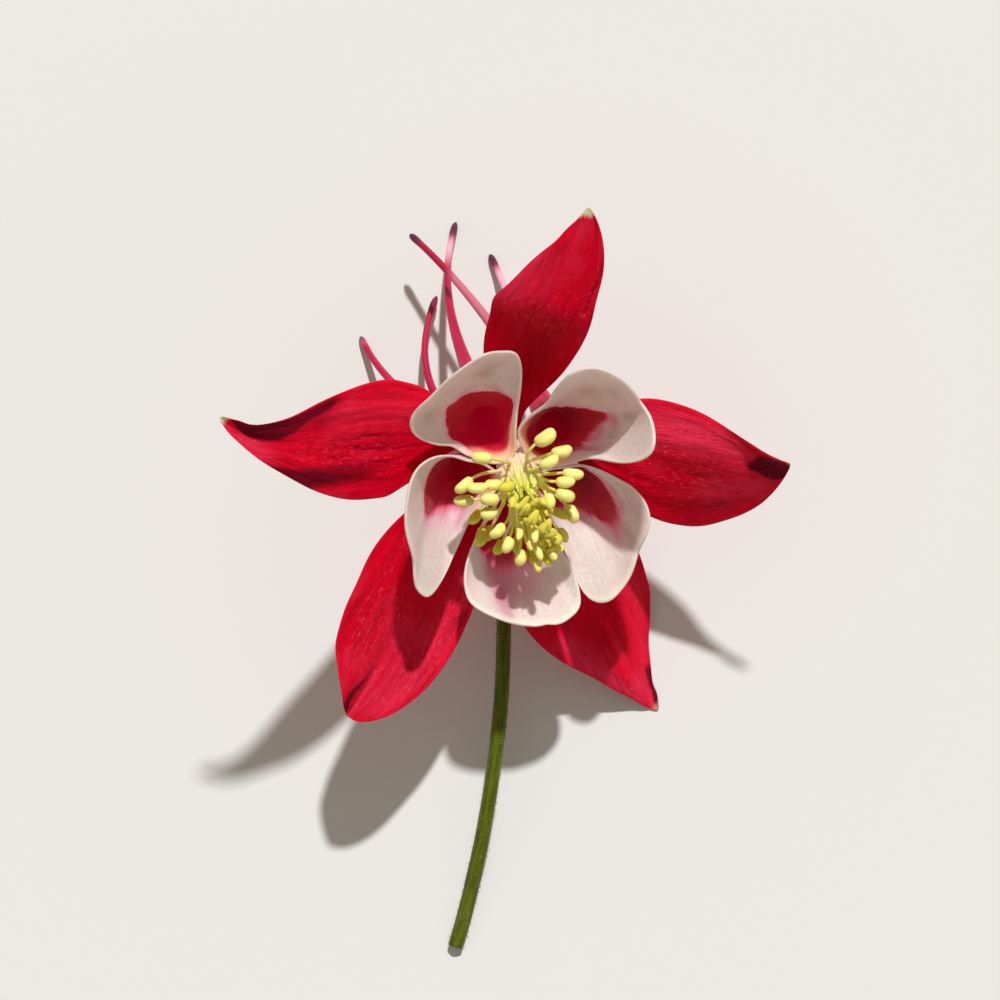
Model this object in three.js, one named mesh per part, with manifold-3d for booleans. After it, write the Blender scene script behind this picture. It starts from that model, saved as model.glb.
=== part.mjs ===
// A columbine flower on its cut stem, lying on its back. Millimetres, +Z up, floor at z = 0.
//
// Five sepals and five spurred petals stand round a column of stamens. Each organ is shaped in
// the bloom's own frame, whose +Z is the flower's axis with the heart of the bloom at zero.
// The azimuth of an organ turns it round that axis. The bloom rests on the tips of two spurs
// and one sepal, and the stem's cut end lies beside them.
import * as THREE from 'three';
import { mergeVertices } from 'three/addons/utils/BufferGeometryUtils.js';
import Module from 'manifold-3d';

const wasm = await Module();
wasm.setup();
const { Manifold, Mesh: SolidMesh } = wasm;

// How the bloom stands over the floor
const HEART = new THREE.Vector3(-1.6, 13, 26.05);
const LEAN = new THREE.Euler(...[37.2, 15.6, -6.5].map(THREE.MathUtils.degToRad), 'XYZ');

// Thickness of sepals and petal walls, the gap left where two organs meet, and the size of
// detail too small to keep where solids are joined
const WALL = 0.64;
const GAP = 0.35;
const SLIVER = 0.08;

// Sepals. foot is the height of the claw on the axis, half the half width, broad where along the
// blade it is widest, full how square its shoulders are. rise, curl and arch bend it up and down,
// sweep and hook bend it sideways, and roll and twist turn its face, all in degrees.
const SEPAL_ROOT = 2.9;
const SEPAL_CLAW = 0.85;
const SEPAL_POINT = 0.32;
const SEPALS = {
  top: {
    azimuth: 87, length: 38.2, half: 6.3, broad: 0.52, full: 1.15, skew: 0.23, foot: -3.5,
    rise: 10, curl: -26, arch: 18, sweep: -24, hook: 39, roll: -2, twist: -16, cup: 0.06,
  },
  right: {
    azimuth: 8, length: 37.8, half: 9.8, broad: 0.55, full: 1.4, skew: -0.11, foot: -4.1,
    rise: 7, curl: 35, arch: 17, sweep: 4, hook: 22, roll: -5, twist: 10, cup: 0.15,
  },
  low_right: {
    azimuth: -58, length: 41.4, half: 9.6, broad: 0.48, full: 1.23, skew: -0.17, foot: -3.3,
    rise: 0, curl: 24, arch: -3, sweep: -11, hook: 21, roll: -8, twist: -28, cup: 0,
  },
  low_left: {
    azimuth: -130.5, length: 39.5, half: 8.9, broad: 0.57, full: 0.86, skew: -0.03, foot: -3.7,
    rise: 6, curl: 11, arch: 17, sweep: 16, hook: -27, roll: 0, twist: -8, cup: 0.07,
  },
  left: {
    azimuth: 160, length: 44.7, half: 8.2, broad: 0.46, full: 1.4, skew: 0.01, foot: -4.1,
    rise: 5, curl: -4, arch: 29.5, sweep: 7, hook: -38, roll: 18, twist: -8, cup: 0.17,
  },
};

// Petals. The rim runs from a claw at the column out to the lip at reach, lift high. egg, flare
// and lean set its outline, fold and rake how its sides rise, and flat how late the cup widens.
// The spur runs from the throat to tip, drawn aside by bend, both in the petal's own frame.
const CLAW_RADIUS = 3.25;
const THROAT_RADIUS = 6.6;
const THROAT_HEIGHT = -2;
const THROAT_BORE = 2.25;
const THROAT_OVAL = 1.1;
const SPUR_NECK = 0.5;
const SPUR_KNOB = 0.14;
const SPUR_TAPER = 3.6;
const FUNNEL_END = 0.34;
const PETALS = {
  up_left: {
    azimuth: 126, reach: 19.3, half: 8.2, lift: 5.7, egg: 0.78, flare: 0.36, lean: -0.16,
    fold: 0, claw: 0.6, rake: 1.1, flat: 1.3, tip: [12.9, -6.2, -45.7], bend: [0.5, 5.8, 0.9],
  },
  up_right: {
    azimuth: 41, reach: 20.6, half: 7.8, lift: 9.6, egg: 0.85, flare: 0.33, lean: 0.14,
    fold: 3, claw: 0, rake: 0.9, flat: 1.3, tip: [2.7, 18.2, -39.2], bend: [2.2, 0.9, -0.9],
  },
  right: {
    azimuth: -26.5, reach: 19.3, half: 7.5, lift: 8, egg: 0.7, flare: 0.36, lean: -0.3,
    fold: 2.4, claw: 0.1, rake: 1.05, flat: 1.3, tip: [-3.3, 10.6, -41.5], bend: [1.4, 1.4, 0],
  },
  bottom: {
    azimuth: -94, reach: 18.8, half: 7.3, lift: 10.4, egg: 0.71, flare: 0.39, lean: 0.17,
    fold: 0.5, claw: 0.5, rake: 0.85, flat: 1.4, tip: [-5.6, -6.3, -38.9], bend: [6.8, -9.3, 1.7],
  },
  left: {
    azimuth: -167.5, reach: 16.9, half: 8.4, lift: 11.5, egg: 0.61, flare: 0.29, lean: 0.36,
    fold: -0.4, claw: 0.5, rake: 0.9, flat: 1.4, tip: [16.1, -3.1, -39.8], bend: [1.2, 3.1, 1.5],
  },
};

// Column of stamens, the papery sheath inside it and the pistils at its middle
const COLUMN_RADIUS = 2.65;
const COLUMN_HEIGHT = 6.4;
const SHEATH_RADIUS = 1.72;
const SHEATH_HEIGHT = 4.6;
const STAMEN_COUNT = 46;
const STAMEN_DOWN = -80;
const FILAMENT_RADIUS = 0.3;
const ANTHER = { length: 3, width: 1.75 };
const CARPEL_COUNT = 5;

// Stem, from the receptacle under the bloom to the cut end, as points over the floor
const RECEPTACLE = { radius: 2.45, top: -1.25, bottom: -4.8 };
const STEM_RADIUS = 1;
const STEM_POINTS = [
  [-3.3, 3.3, 14.2], [-3.8, -0.6, 11.1], [-4, -9.7, 9.3], [-4, -19.5, 8], [-4.4, -29.5, 6.4],
  [-5.6, -39.5, 4.6], [-7.4, -49, 2.5], [-9.3, -57, 1.05], [-11, -63.5, 0.85],
];

const { degToRad } = THREE.MathUtils;
const bloomFrame = new THREE.Matrix4().makeRotationFromEuler(LEAN).setPosition(0, 0, HEART.z);

// Evenly spread numbers from 0 to count - 1, scaled into 0..1
function steps(count) {
  return Array.from({ length: count }, (_, i) => i / (count - 1));
}

// Skin over a stack of rings of equal size, closed at both ends by a middle point. Where
// mirrored says so, a four-sided patch is split along its other diagonal.
function skin(rings, firstEnd, lastEnd, mirrored = () => false) {
  const size = rings[0].length;
  const positions = [...rings.flat(), firstEnd, lastEnd].flatMap((p) => [p.x, p.y, p.z]);
  const first = rings.length * size;
  const indices = [];
  for (let j = 0; j < size; j += 1) {
    const next = (j + 1) % size;
    indices.push(first, next, j);
    indices.push(first + 1, first - size + j, first - size + next);
    for (let i = 0; i < rings.length - 1; i += 1) {
      const [a, b] = [i * size + j, i * size + next];
      const [c, d] = [a + size, b + size];
      indices.push(...(mirrored(i, j) ? [a, b, c, b, d, c] : [a, b, d, a, d, c]));
    }
  }
  const geometry = new THREE.BufferGeometry();
  geometry.setAttribute('position', new THREE.Float32BufferAttribute(positions, 3));
  geometry.setIndex(indices);
  return geometry;
}

function toSolid(geometry) {
  const bare = geometry.clone();
  bare.deleteAttribute('normal');
  bare.deleteAttribute('uv');
  const welded = mergeVertices(bare, 1e-5);
  return new Manifold(new SolidMesh({
    numProp: 3,
    vertProperties: welded.attributes.position.array,
    triVerts: new Uint32Array(welded.index.array),
  }));
}

function toGeometry(solid) {
  const { vertProperties, triVerts } = solid.getMesh();
  const geometry = new THREE.BufferGeometry();
  geometry.setAttribute('position', new THREE.BufferAttribute(vertProperties, 3));
  geometry.setIndex(new THREE.BufferAttribute(triVerts, 1));
  geometry.computeVertexNormals();
  return geometry;
}

// Join solids and drop slivers. Keeping only the largest closed skin fills any hollow that the
// joining sealed.
function fuse(solids) {
  const skins = Manifold.union(solids).simplify(SLIVER).decompose();
  return skins.reduce((best, other) => (other.volume() > best.volume() ? other : best));
}

// Cut off what would reach below the floor, with the solid given in the frame of matrix
function trimAtFloor(solid, matrix) {
  const inverse = matrix.clone().invert();
  const normal = new THREE.Vector3(0, 0, 1).transformDirection(inverse);
  const offset = new THREE.Vector3().applyMatrix4(inverse).dot(normal);
  return solid.trimByPlane(normal.toArray(), offset);
}

// Half width of a blade along u: a bell with its peak at broad, pinched near the claw
function bladeHalfWidth(shape, u) {
  const { half, broad, full } = shape;
  const behind = (full * (1 - broad)) / broad;
  const swell = (u / broad) ** full * ((1 - u) / (1 - broad)) ** behind;
  const pinch = 1 - Math.exp(-((u / 0.16) ** 2));
  return half * swell * pinch + SEPAL_CLAW * (1 - u) ** 4 + SEPAL_POINT * u ** 8;
}

// Direction of a sepal's midrib at u, from its rise off the level and its heading sideways
function midribDirection(shape, u) {
  const bow = shape.arch * Math.sin(Math.PI * u);
  const rise = degToRad(shape.rise + shape.curl * u ** 1.6 + bow);
  const hook = shape.hook * (Math.max(u - 0.7, 0) / 0.3) ** 2;
  const heading = degToRad(shape.sweep * u + hook);
  return new THREE.Vector3(
    Math.cos(rise) * Math.cos(heading),
    Math.cos(rise) * Math.sin(heading),
    Math.sin(rise),
  );
}

// Points down the midrib at the stations given, by summing short steps along its direction
function midribPoints(shape, stations) {
  const fine = 200;
  const walked = [new THREE.Vector3(SEPAL_ROOT, 0, shape.foot)];
  for (let i = 0; i < fine; i += 1) {
    const step = midribDirection(shape, (i + 0.5) / fine).multiplyScalar(shape.length / fine);
    walked.push(walked[i].clone().add(step));
  }
  return stations.map((u) => walked[Math.round(u * fine)].clone());
}

// One cross-section of a sepal: its face from edge to edge, then its back the other way
function sepalSection(shape, centre, u, across) {
  const along = midribDirection(shape, u);
  const roll = degToRad(shape.roll + shape.twist * u);
  const side = new THREE.Vector3(0, 0, 1).cross(along).normalize().applyAxisAngle(along, roll);
  const up = along.clone().cross(side);
  const half = bladeHalfWidth(shape, u);
  const point = (v, height) => centre.clone()
    .addScaledVector(side, half * v * (1 + shape.skew * v))
    .addScaledVector(up, shape.cup * half * v * v + height);
  const face = across.map((v) => point(v, WALL / 2));
  const back = across.map((v) => point(v, -WALL / 2)).reverse();
  return [...face, ...back];
}

function sepalGeometry(shape) {
  const stations = [...steps(19).map((u) => u * 0.99), 1];
  const across = steps(8).map((v) => 1 - 2 * v);
  const centres = midribPoints(shape, stations);
  const rings = stations.map((u, i) => sepalSection(shape, centres[i], u, across));
  return skin(rings, centres[0], centres.at(-1), (i, j) => j >= across.length);
}

// Outline of a petal's cup at angle a round it, where 0 is the lip and pi the claw
function rimPoint(shape, a) {
  const out = (1 + Math.cos(a)) / 2;
  const span = shape.reach - CLAW_RADIUS;
  return new THREE.Vector3(
    CLAW_RADIUS + span * out ** shape.egg,
    shape.half * Math.sin(a) * (1 + shape.flare * Math.cos(a)) + shape.lean * out ** 1.5 * span,
    shape.claw + (shape.lift - shape.claw) * out ** shape.rake
      + shape.fold * Math.abs(Math.sin(a)) ** 1.5 * out,
  );
}

// Middle surface of the cup: from the round throat at w = 0 to the rim at w = 1, with a belly
function cupPoint(shape, a, w) {
  const out = (1 + Math.cos(a)) / 2;
  const rim = rimPoint(shape, a);
  const belly = 2.8 * w * (1 - w) * (0.25 + 0.75 * out);
  const { lerp } = THREE.MathUtils;
  return new THREE.Vector3(
    lerp(THROAT_RADIUS + THROAT_BORE * THROAT_OVAL * Math.cos(a), rim.x, w ** 0.95)
      + belly * 0.5 * Math.cos(a),
    lerp(THROAT_BORE * Math.sin(a), rim.y, w ** shape.flat) + belly * 0.5 * Math.sin(a),
    lerp(THROAT_HEIGHT, rim.z, w) - belly * 0.8,
  );
}

// A point of the cup set off from its middle surface along the normal, outwards if positive
function cupWallPoint(shape, a, w, offset) {
  const tiny = 1e-3;
  const round = cupPoint(shape, a + tiny, w).sub(cupPoint(shape, a - tiny, w));
  const outwards = cupPoint(shape, a, w).sub(cupPoint(shape, a, w - tiny));
  const normal = round.cross(outwards).normalize();
  return cupPoint(shape, a, w).addScaledVector(normal, offset);
}

function spurCurve(shape) {
  const start = new THREE.Vector3(THROAT_RADIUS, 0, THROAT_HEIGHT);
  const tip = new THREE.Vector3(...shape.tip);
  const reach = tip.distanceTo(start) * 0.4;
  const leave = start.clone().add(new THREE.Vector3(-0.03 * reach, 0, -reach));
  const arrive = start.clone().lerp(tip, 0.67).add(new THREE.Vector3(...shape.bend));
  return new THREE.CubicBezierCurve3(start, leave, arrive, tip);
}

// Outer radius of the spur: a funnel that tapers to the neck, with a round knob at the tip
function spurRadius(s) {
  const funnel = (THROAT_BORE + WALL / 2 - SPUR_NECK) * Math.exp(-SPUR_TAPER * s);
  const knob = SPUR_KNOB * Math.exp(-(((s - 0.965) / 0.025) ** 2));
  const cap = Math.sqrt(1 - (Math.max(s - 0.975, 0) / 0.025) ** 2);
  return (SPUR_NECK + funnel + knob) * cap;
}

function spurRing(curve, angles, s, inset) {
  const centre = curve.getPoint(s);
  const along = curve.getTangent(s);
  const across = new THREE.Vector3(0, 1, 0).projectOnPlane(along).normalize();
  const outwards = across.clone().cross(along);
  const oval = 1 + (THROAT_OVAL - 1) * Math.exp(-12 * s);
  const radius = spurRadius(s) - inset;
  return angles.map((a) => centre.clone()
    .addScaledVector(outwards, -radius * oval * Math.cos(a))
    .addScaledVector(across, radius * Math.sin(a)));
}

// One closed skin: up the outside of the spur, up the cup, over the rim and down the inside
function petalGeometry(shape) {
  const angles = steps(21).slice(0, 20).map((t) => (t * 2 - 1) * Math.PI);
  const curve = spurCurve(shape);
  const outer = [0.993, 0.975, 0.95, 0.91, 0.82, 0.72, 0.61, 0.5, 0.4, 0.3, 0.21, 0.13, 0.06, 0];
  const walls = [0.14, 0.3, 0.46, 0.62, 0.78, 0.9, 1];
  const inner = [0.01, 0.07, 0.14, 0.21, 0.28];
  const wall = (w, side) => angles.map((a) => cupWallPoint(shape, a, w, side * WALL / 2));
  const rings = [
    ...outer.map((s) => spurRing(curve, angles, s, 0)),
    ...walls.map((w) => wall(w, 1)),
    ...walls.toReversed().map((w) => wall(w, -1)),
    ...inner.map((s) => spurRing(curve, angles, s, WALL)),
  ];
  const turn = outer.length + walls.length;
  return skin(rings, curve.getPoint(1), curve.getPoint(FUNNEL_END), (i) => i >= turn);
}

// Tube of rings along a curve, with a radius for each of its stations
function tubeGeometry(curve, stations, radii, sides) {
  const frames = curve.computeFrenetFrames(stations.length - 1, false);
  const rings = stations.map((t, i) => {
    const centre = curve.getPoint(t);
    return Array.from({ length: sides }, (_, j) => {
      const a = (j / sides) * 2 * Math.PI;
      return centre.clone()
        .addScaledVector(frames.normals[i], radii[i] * Math.cos(a))
        .addScaledVector(frames.binormals[i], radii[i] * Math.sin(a));
    });
  });
  return skin(rings, curve.getPoint(stations[0]), curve.getPoint(stations.at(-1)));
}

// Numbers from -1 to 1 that scatter evenly as k counts up, another series for each stride
function scatter(k, stride) {
  return ((k * stride) % 1) * 2 - 1;
}

// Where stamen k starts, how it bends and where it ends. The outer ones come first, are low and
// spread wide, and the whole bundle sags to the flower's lower side.
function stamenCurve(k) {
  const t = (k + 0.5) / STAMEN_COUNT;
  const turn = ((degToRad(k * 137.508) + Math.PI) % (2 * Math.PI)) - Math.PI;
  const fromTop = turn + 0.28 * Math.sin(turn) + degToRad(9 * scatter(k, 0.754878));
  const azimuth = fromTop + degToRad(STAMEN_DOWN) + Math.PI;
  const height = 7.6 + 7.6 * t ** 0.9 + scatter(k, 0.56984);
  const reach = 7.6 - 5.4 * t ** 1.6 + 0.9 * scatter(k, 0.819173);
  const polar = (radius, z) => new THREE.Vector3(
    radius * Math.cos(azimuth),
    radius * Math.sin(azimuth),
    z,
  );
  const sag = new THREE.Vector3(Math.cos(degToRad(STAMEN_DOWN)), Math.sin(degToRad(STAMEN_DOWN)), 0);
  const root = polar(2.35, 2.4 + 2.8 * t);
  const end = polar(reach, height).addScaledVector(sag, 1.2 * t);
  const bend = root.clone().lerp(end, 0.65).setZ(height * 1.02);
  return new THREE.CubicBezierCurve3(root, polar(2.5, 2.6 + height * 0.4), bend, end);
}

function antherGeometry(curve) {
  const along = curve.getTangent(1);
  const anther = new THREE.SphereGeometry(0.5, 6, 3);
  anther.scale(ANTHER.width, ANTHER.length, ANTHER.width);
  anther.applyQuaternion(new THREE.Quaternion().setFromUnitVectors(THREE.Object3D.DEFAULT_UP, along));
  const middle = curve.getPoint(1).addScaledVector(along, ANTHER.length * 0.42);
  return anther.translate(middle.x, middle.y, middle.z);
}

// Ring-shaped wall between two heights, lobes waving its top edge
function sleeveGeometry(radius, wall, bottom, top, lobes, wave) {
  const sides = 20;
  const ring = (r, z, lift) => Array.from({ length: sides }, (_, j) => {
    const a = (j / sides) * 2 * Math.PI;
    return new THREE.Vector3(r * Math.cos(a), r * Math.sin(a), z + lift * Math.cos(lobes * a));
  });
  const profile = [
    ring(radius, bottom, 0), ring(radius, (bottom + top) / 2, 0), ring(radius, top, wave),
    ring(radius - wall, top, wave), ring(radius - wall, bottom, 0),
  ];
  const positions = profile.flat().flatMap((p) => [p.x, p.y, p.z]);
  const indices = [];
  for (let i = 0; i < profile.length; i += 1) {
    for (let j = 0; j < sides; j += 1) {
      const [a, b] = [i * sides + j, i * sides + ((j + 1) % sides)];
      const [c, d] = [a, b].map((n) => (n + sides) % (profile.length * sides));
      indices.push(a, b, d, a, d, c);
    }
  }
  const geometry = new THREE.BufferGeometry();
  geometry.setAttribute('position', new THREE.Float32BufferAttribute(positions, 3));
  geometry.setIndex(indices);
  return geometry;
}

function stamensSolid() {
  const foot = RECEPTACLE.top + GAP;
  const collar = toSolid(sleeveGeometry(COLUMN_RADIUS, 0.6, foot, COLUMN_HEIGHT, 0, 0));
  const stamens = Array.from({ length: STAMEN_COUNT }, (_, k) => {
    const curve = stamenCurve(k);
    const stations = steps(5);
    const filament = tubeGeometry(curve, stations, stations.map(() => FILAMENT_RADIUS), 4);
    return [toSolid(filament), toSolid(antherGeometry(curve))];
  });
  return fuse([collar, ...stamens.flat()]);
}

function pistilsSolid() {
  const foot = RECEPTACLE.top + GAP;
  const carpels = Array.from({ length: CARPEL_COUNT }, (_, k) => {
    const a = (k / CARPEL_COUNT) * 2 * Math.PI;
    const at = (radius, z) => new THREE.Vector3(radius * Math.cos(a), radius * Math.sin(a), z);
    const curve = new THREE.CubicBezierCurve3(at(0.32, foot), at(0.35, 5), at(0.4, 9), at(1.15, 13));
    const stations = steps(7);
    return toSolid(tubeGeometry(curve, stations, stations.map((t) => 0.46 - 0.15 * t), 6));
  });
  return fuse(carpels);
}

// Receptacle and stalk as one sweep: a stub down the flower's axis, then the hand-set points
function stemSolid() {
  const onAxis = (z) => new THREE.Vector3(0, 0, z).applyMatrix4(bloomFrame);
  const route = [RECEPTACLE.top, -3, RECEPTACLE.bottom, -6.4, -8.4].map(onAxis);
  const points = [...route, ...STEM_POINTS.map((p) => new THREE.Vector3(...p))];
  const curve = new THREE.CatmullRomCurve3(points, false, 'catmullrom', 0.5);
  const stations = steps((points.length - 1) * 2 + 1);
  const radii = stations.map((t) => {
    const knot = t * (points.length - 1);
    const swell = 1 - THREE.MathUtils.smoothstep(knot, 1.9, 3.4);
    return STEM_RADIUS + (RECEPTACLE.radius - STEM_RADIUS) * swell;
  });
  return trimAtFloor(toSolid(tubeGeometry(curve, stations, radii, 10)), new THREE.Matrix4());
}

function material(color, roughness) {
  return new THREE.MeshStandardMaterial({ color, roughness, metalness: 0 });
}

function mesh(name, solid, paint) {
  const piece = new THREE.Mesh(toGeometry(solid), paint);
  piece.name = name;
  return piece;
}

// A sepal or petal turned to its azimuth in the bloom and cut level where it meets the floor
function organMesh(name, geometry, azimuth, paint) {
  const turn = new THREE.Matrix4().makeRotationZ(degToRad(azimuth));
  const solid = trimAtFloor(toSolid(geometry), bloomFrame.clone().multiply(turn));
  const piece = mesh(name, solid, paint);
  piece.rotation.z = degToRad(azimuth);
  return piece;
}

const sepalRed = material('#c1052c', 0.6);
const petalWhite = material('#e6d6cc', 0.55);
const antherYellow = material('#e8dd55', 0.7);
const sheathPale = material('#e3e6c4', 0.6);
const pistilGreen = material('#b9c56a', 0.6);
const stemGreen = material('#5f6b2a', 0.65);

const bloom = new THREE.Group();
bloom.position.z = HEART.z;
bloom.rotation.copy(LEAN);
for (const [place, shape] of Object.entries(SEPALS)) {
  bloom.add(organMesh(`sepal_${place}`, sepalGeometry(shape), shape.azimuth, sepalRed));
}
for (const [place, shape] of Object.entries(PETALS)) {
  bloom.add(organMesh(`petal_${place}`, petalGeometry(shape), shape.azimuth, petalWhite));
}
const sheath = sleeveGeometry(SHEATH_RADIUS, 0.6, RECEPTACLE.top + GAP, SHEATH_HEIGHT, 10, 0.4);
bloom.add(mesh('stamens', stamensSolid(), antherYellow));
bloom.add(mesh('staminodes', toSolid(sheath), sheathPale));
bloom.add(mesh('pistils', pistilsSolid(), pistilGreen));

const columbine = new THREE.Group();
columbine.position.set(HEART.x, HEART.y, 0);
columbine.add(bloom, mesh('stem', stemSolid(), stemGreen));

export default columbine;
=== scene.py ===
import math

import bpy
import numpy as np
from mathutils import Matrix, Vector


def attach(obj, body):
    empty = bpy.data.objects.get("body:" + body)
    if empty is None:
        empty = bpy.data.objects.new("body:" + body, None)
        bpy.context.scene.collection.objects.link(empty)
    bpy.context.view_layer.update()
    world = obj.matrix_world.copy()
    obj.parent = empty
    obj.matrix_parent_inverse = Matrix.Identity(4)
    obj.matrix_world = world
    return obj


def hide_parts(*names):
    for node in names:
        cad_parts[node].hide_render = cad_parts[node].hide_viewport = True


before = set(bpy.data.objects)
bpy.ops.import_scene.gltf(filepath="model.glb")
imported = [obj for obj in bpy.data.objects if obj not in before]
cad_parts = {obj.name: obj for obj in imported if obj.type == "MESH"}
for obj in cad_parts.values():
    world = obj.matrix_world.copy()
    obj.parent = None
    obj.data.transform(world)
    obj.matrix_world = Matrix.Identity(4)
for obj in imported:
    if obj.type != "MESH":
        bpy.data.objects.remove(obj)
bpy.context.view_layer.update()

# Shapes are worked out in millimetres in the bloom's own frame, whose +Z is the flower's axis
# with the heart of the bloom at zero, and are then leant over and set above the floor.
bloom = {"heart": (-1.6, 13.0, 26.05), "lean": (37.2, 15.6, -6.5)}
millimetre = 0.001
thirdTurn, goldenAngle = 2.0944, 2.39996


def smoothStep(low, high, x):
    # 0 below low, 1 above high and 3t^2 - 2t^3 between them
    t = np.clip((x - low) / (high - low), 0, 1)
    return t * t * (3 - 2 * t)


def bell(away, spread=1.0):
    # exp(-(away / spread)^2)
    return np.exp(-((away / spread) ** 2))


def roundEnd(t, start, length):
    # 1 up to start, then down to 0 like a quarter of a circle
    return np.sqrt(1 - np.clip((t - start) / length, 0, 1) ** 2)


def unit(vectors):
    # each vector divided by its length
    return vectors / np.maximum(np.linalg.norm(vectors, axis=-1, keepdims=True), 1e-12)


def turnAbout(axis, degrees):
    # rotation matrix about axis 0, 1 or 2
    c, s = math.cos(math.radians(degrees)), math.sin(math.radians(degrees))
    i, j = (axis + 1) % 3, (axis + 2) % 3
    matrix = np.eye(3)
    matrix[i, i], matrix[i, j], matrix[j, i], matrix[j, j] = c, -s, s, c
    return matrix


# The bloom is looked at along one line. faceFrame holds the directions to the right, up and
# towards the viewer in the floor frame, and faceMatrix turns them into the bloom's own frame.
viewAngles = (7.346, 8.755, 1.107)
leanMatrix = turnAbout(0, bloom["lean"][0]) @ turnAbout(1, bloom["lean"][1]) @ turnAbout(2, bloom["lean"][2])
faceFrame = turnAbout(2, viewAngles[2]) @ turnAbout(1, viewAngles[1]) @ turnAbout(0, viewAngles[0])
faceMatrix = leanMatrix.T @ faceFrame


def towardsViewer(shape):
    # the direction to the viewer in a blade's own frame, before it is turned to its azimuth
    return (leanMatrix @ turnAbout(2, shape["azimuth"])).T @ faceFrame[:, 2]


def toFloorFrame(points, azimuth=0.0):
    # turned to the azimuth, leant with the bloom, moved to its heart and kept above the floor
    placed = points @ (leanMatrix @ turnAbout(2, azimuth)).T + np.array(bloom["heart"])
    placed[..., 2] = np.maximum(placed[..., 2], 0.0)
    return placed


def softNoise(x, y, seed):
    # random heights from -1 to 1 at whole numbers of x and y, joined by smooth steps
    lattice = np.random.default_rng(seed).uniform(-1, 1, (64, 64))
    x, y = np.broadcast_arrays(np.asarray(x, float), np.asarray(y, float))
    i, j = np.floor(x).astype(int), np.floor(y).astype(int)
    fx, fy = smoothStep(0, 1, x - i), smoothStep(0, 1, y - j)
    low = lattice[i % 64, j % 64] * (1 - fx) + lattice[(i + 1) % 64, j % 64] * fx
    high = lattice[i % 64, (j + 1) % 64] * (1 - fx) + lattice[(i + 1) % 64, (j + 1) % 64] * fx
    return low * (1 - fy) + high * fy


def strokes(u, v, lines):
    # each line runs from (u0, v0) to (u1, v1) and adds strength times a bell of the distance
    # across it, fading in and out over a short stretch at its ends
    total = np.zeros(np.broadcast(u, v).shape)
    for u0, v0, u1, v1, width, strength in lines:
        centre = v0 + (v1 - v0) * (u - u0) / (u1 - u0)
        window = smoothStep(u0 - 0.05, u0 + 0.05, u) * (1 - smoothStep(u1 - 0.05, u1 + 0.05, u))
        total = total + strength * bell(v - centre, width) * window
    return total


def areas(u, v, regions):
    # each region has a strength, the softness of its edge and corners (u, low, high): it lies
    # between the two lines of v that join them
    total = np.zeros(np.broadcast(u, v).shape)
    for strength, soft, corners in regions:
        at, low, high = np.array(corners, float).T
        above = smoothStep(-soft, soft, v - np.interp(u, at, low))
        below = smoothStep(-soft, soft, np.interp(u, at, high) - v)
        total = np.maximum(total, strength * above * below * smoothStep(at[0], at[0] + 0.05, u))
    return total


def bezier(points, t):
    # cubic curve through the first and last of four points: place and unit tangent at each t
    p = [np.asarray(q, float) for q in points]
    t = np.asarray(t)[..., None]
    place = (1 - t) ** 3 * p[0] + 3 * t * (1 - t) ** 2 * p[1] + 3 * t**2 * (1 - t) * p[2] + t**3 * p[3]
    slope = (1 - t) ** 2 * (p[1] - p[0]) + 2 * t * (1 - t) * (p[2] - p[1]) + t**2 * (p[3] - p[2])
    return place, unit(slope)


def lengthAlong(path):
    # how far along the path each of its points is
    return np.concatenate([[0], np.cumsum(np.linalg.norm(np.diff(path, axis=0), axis=1))])


def gridFaces(rows, columns, offset):
    # quads of a grid whose columns wrap round, and triangle fans to a point at either end
    index = np.arange(rows * columns).reshape(rows, columns) + offset
    beside = np.roll(index, -1, axis=1)
    quads = np.stack([index[:-1], beside[:-1], beside[1:], index[1:]], axis=-1).reshape(-1, 4)
    first, last = offset + rows * columns, offset + rows * columns + 1
    firstFan = np.stack([np.full(columns, first), beside[0], index[0]], axis=-1)
    lastFan = np.stack([np.full(columns, last), index[-1], beside[-1]], axis=-1)
    return quads.tolist() + firstFan.tolist() + lastFan.tolist()


def addObject(name, data):
    # an object at the origin, linked to the scene
    added = bpy.data.objects.new(name, data)
    bpy.context.scene.collection.objects.link(added)
    return added


def makeMesh(name, points, faces, material, replaced=()):
    # a piece from points in millimetres in the floor frame
    mesh = bpy.data.meshes.new(name)
    mesh.from_pydata((points * millimetre).tolist(), [], faces)
    mesh.materials.append(material)
    mesh.update()
    piece = addObject(name, mesh)
    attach(piece, "root")
    if replaced:
        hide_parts(*replaced)
    return mesh


def makePiece(name, skins, material, replaced=()):
    # Each skin is a closed grid: points of shape (rows, columns, 3) in the floor frame and
    # layers, values for the whole grid, a row, a place or a vector, that go into attributes.
    # The middle of each end row closes the skin.
    points, faces, count = [], [], 0
    layers = {key: [] for key in skins[0]["layers"]}
    for skin in skins:
        grid = skin["points"]
        rows, columns = grid.shape[:2]
        faces += gridFaces(rows, columns, count)
        points += [grid.reshape(-1, 3), grid[0].mean(0)[None], grid[-1].mean(0)[None]]
        count += rows * columns + 2
        for key, values in skin["layers"].items():
            values = np.broadcast_to(values, grid.shape if np.ndim(values) == 3 else grid.shape[:2])
            tail = values.shape[2:]
            layers[key] += [values.reshape((-1,) + tail), values[0].mean(0)[None], values[-1].mean(0)[None]]
    mesh = makeMesh(name, np.concatenate(points), faces, material, replaced)
    mesh.polygons.foreach_set("use_smooth", np.ones(len(mesh.polygons), bool))
    for key, values in layers.items():
        values = np.concatenate(values).astype(np.float32)
        vector = values.ndim == 2
        attribute = mesh.attributes.new(key, "FLOAT_VECTOR" if vector else "FLOAT", "POINT")
        attribute.data.foreach_set("vector" if vector else "value", values.ravel())
    mesh.update()


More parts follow.
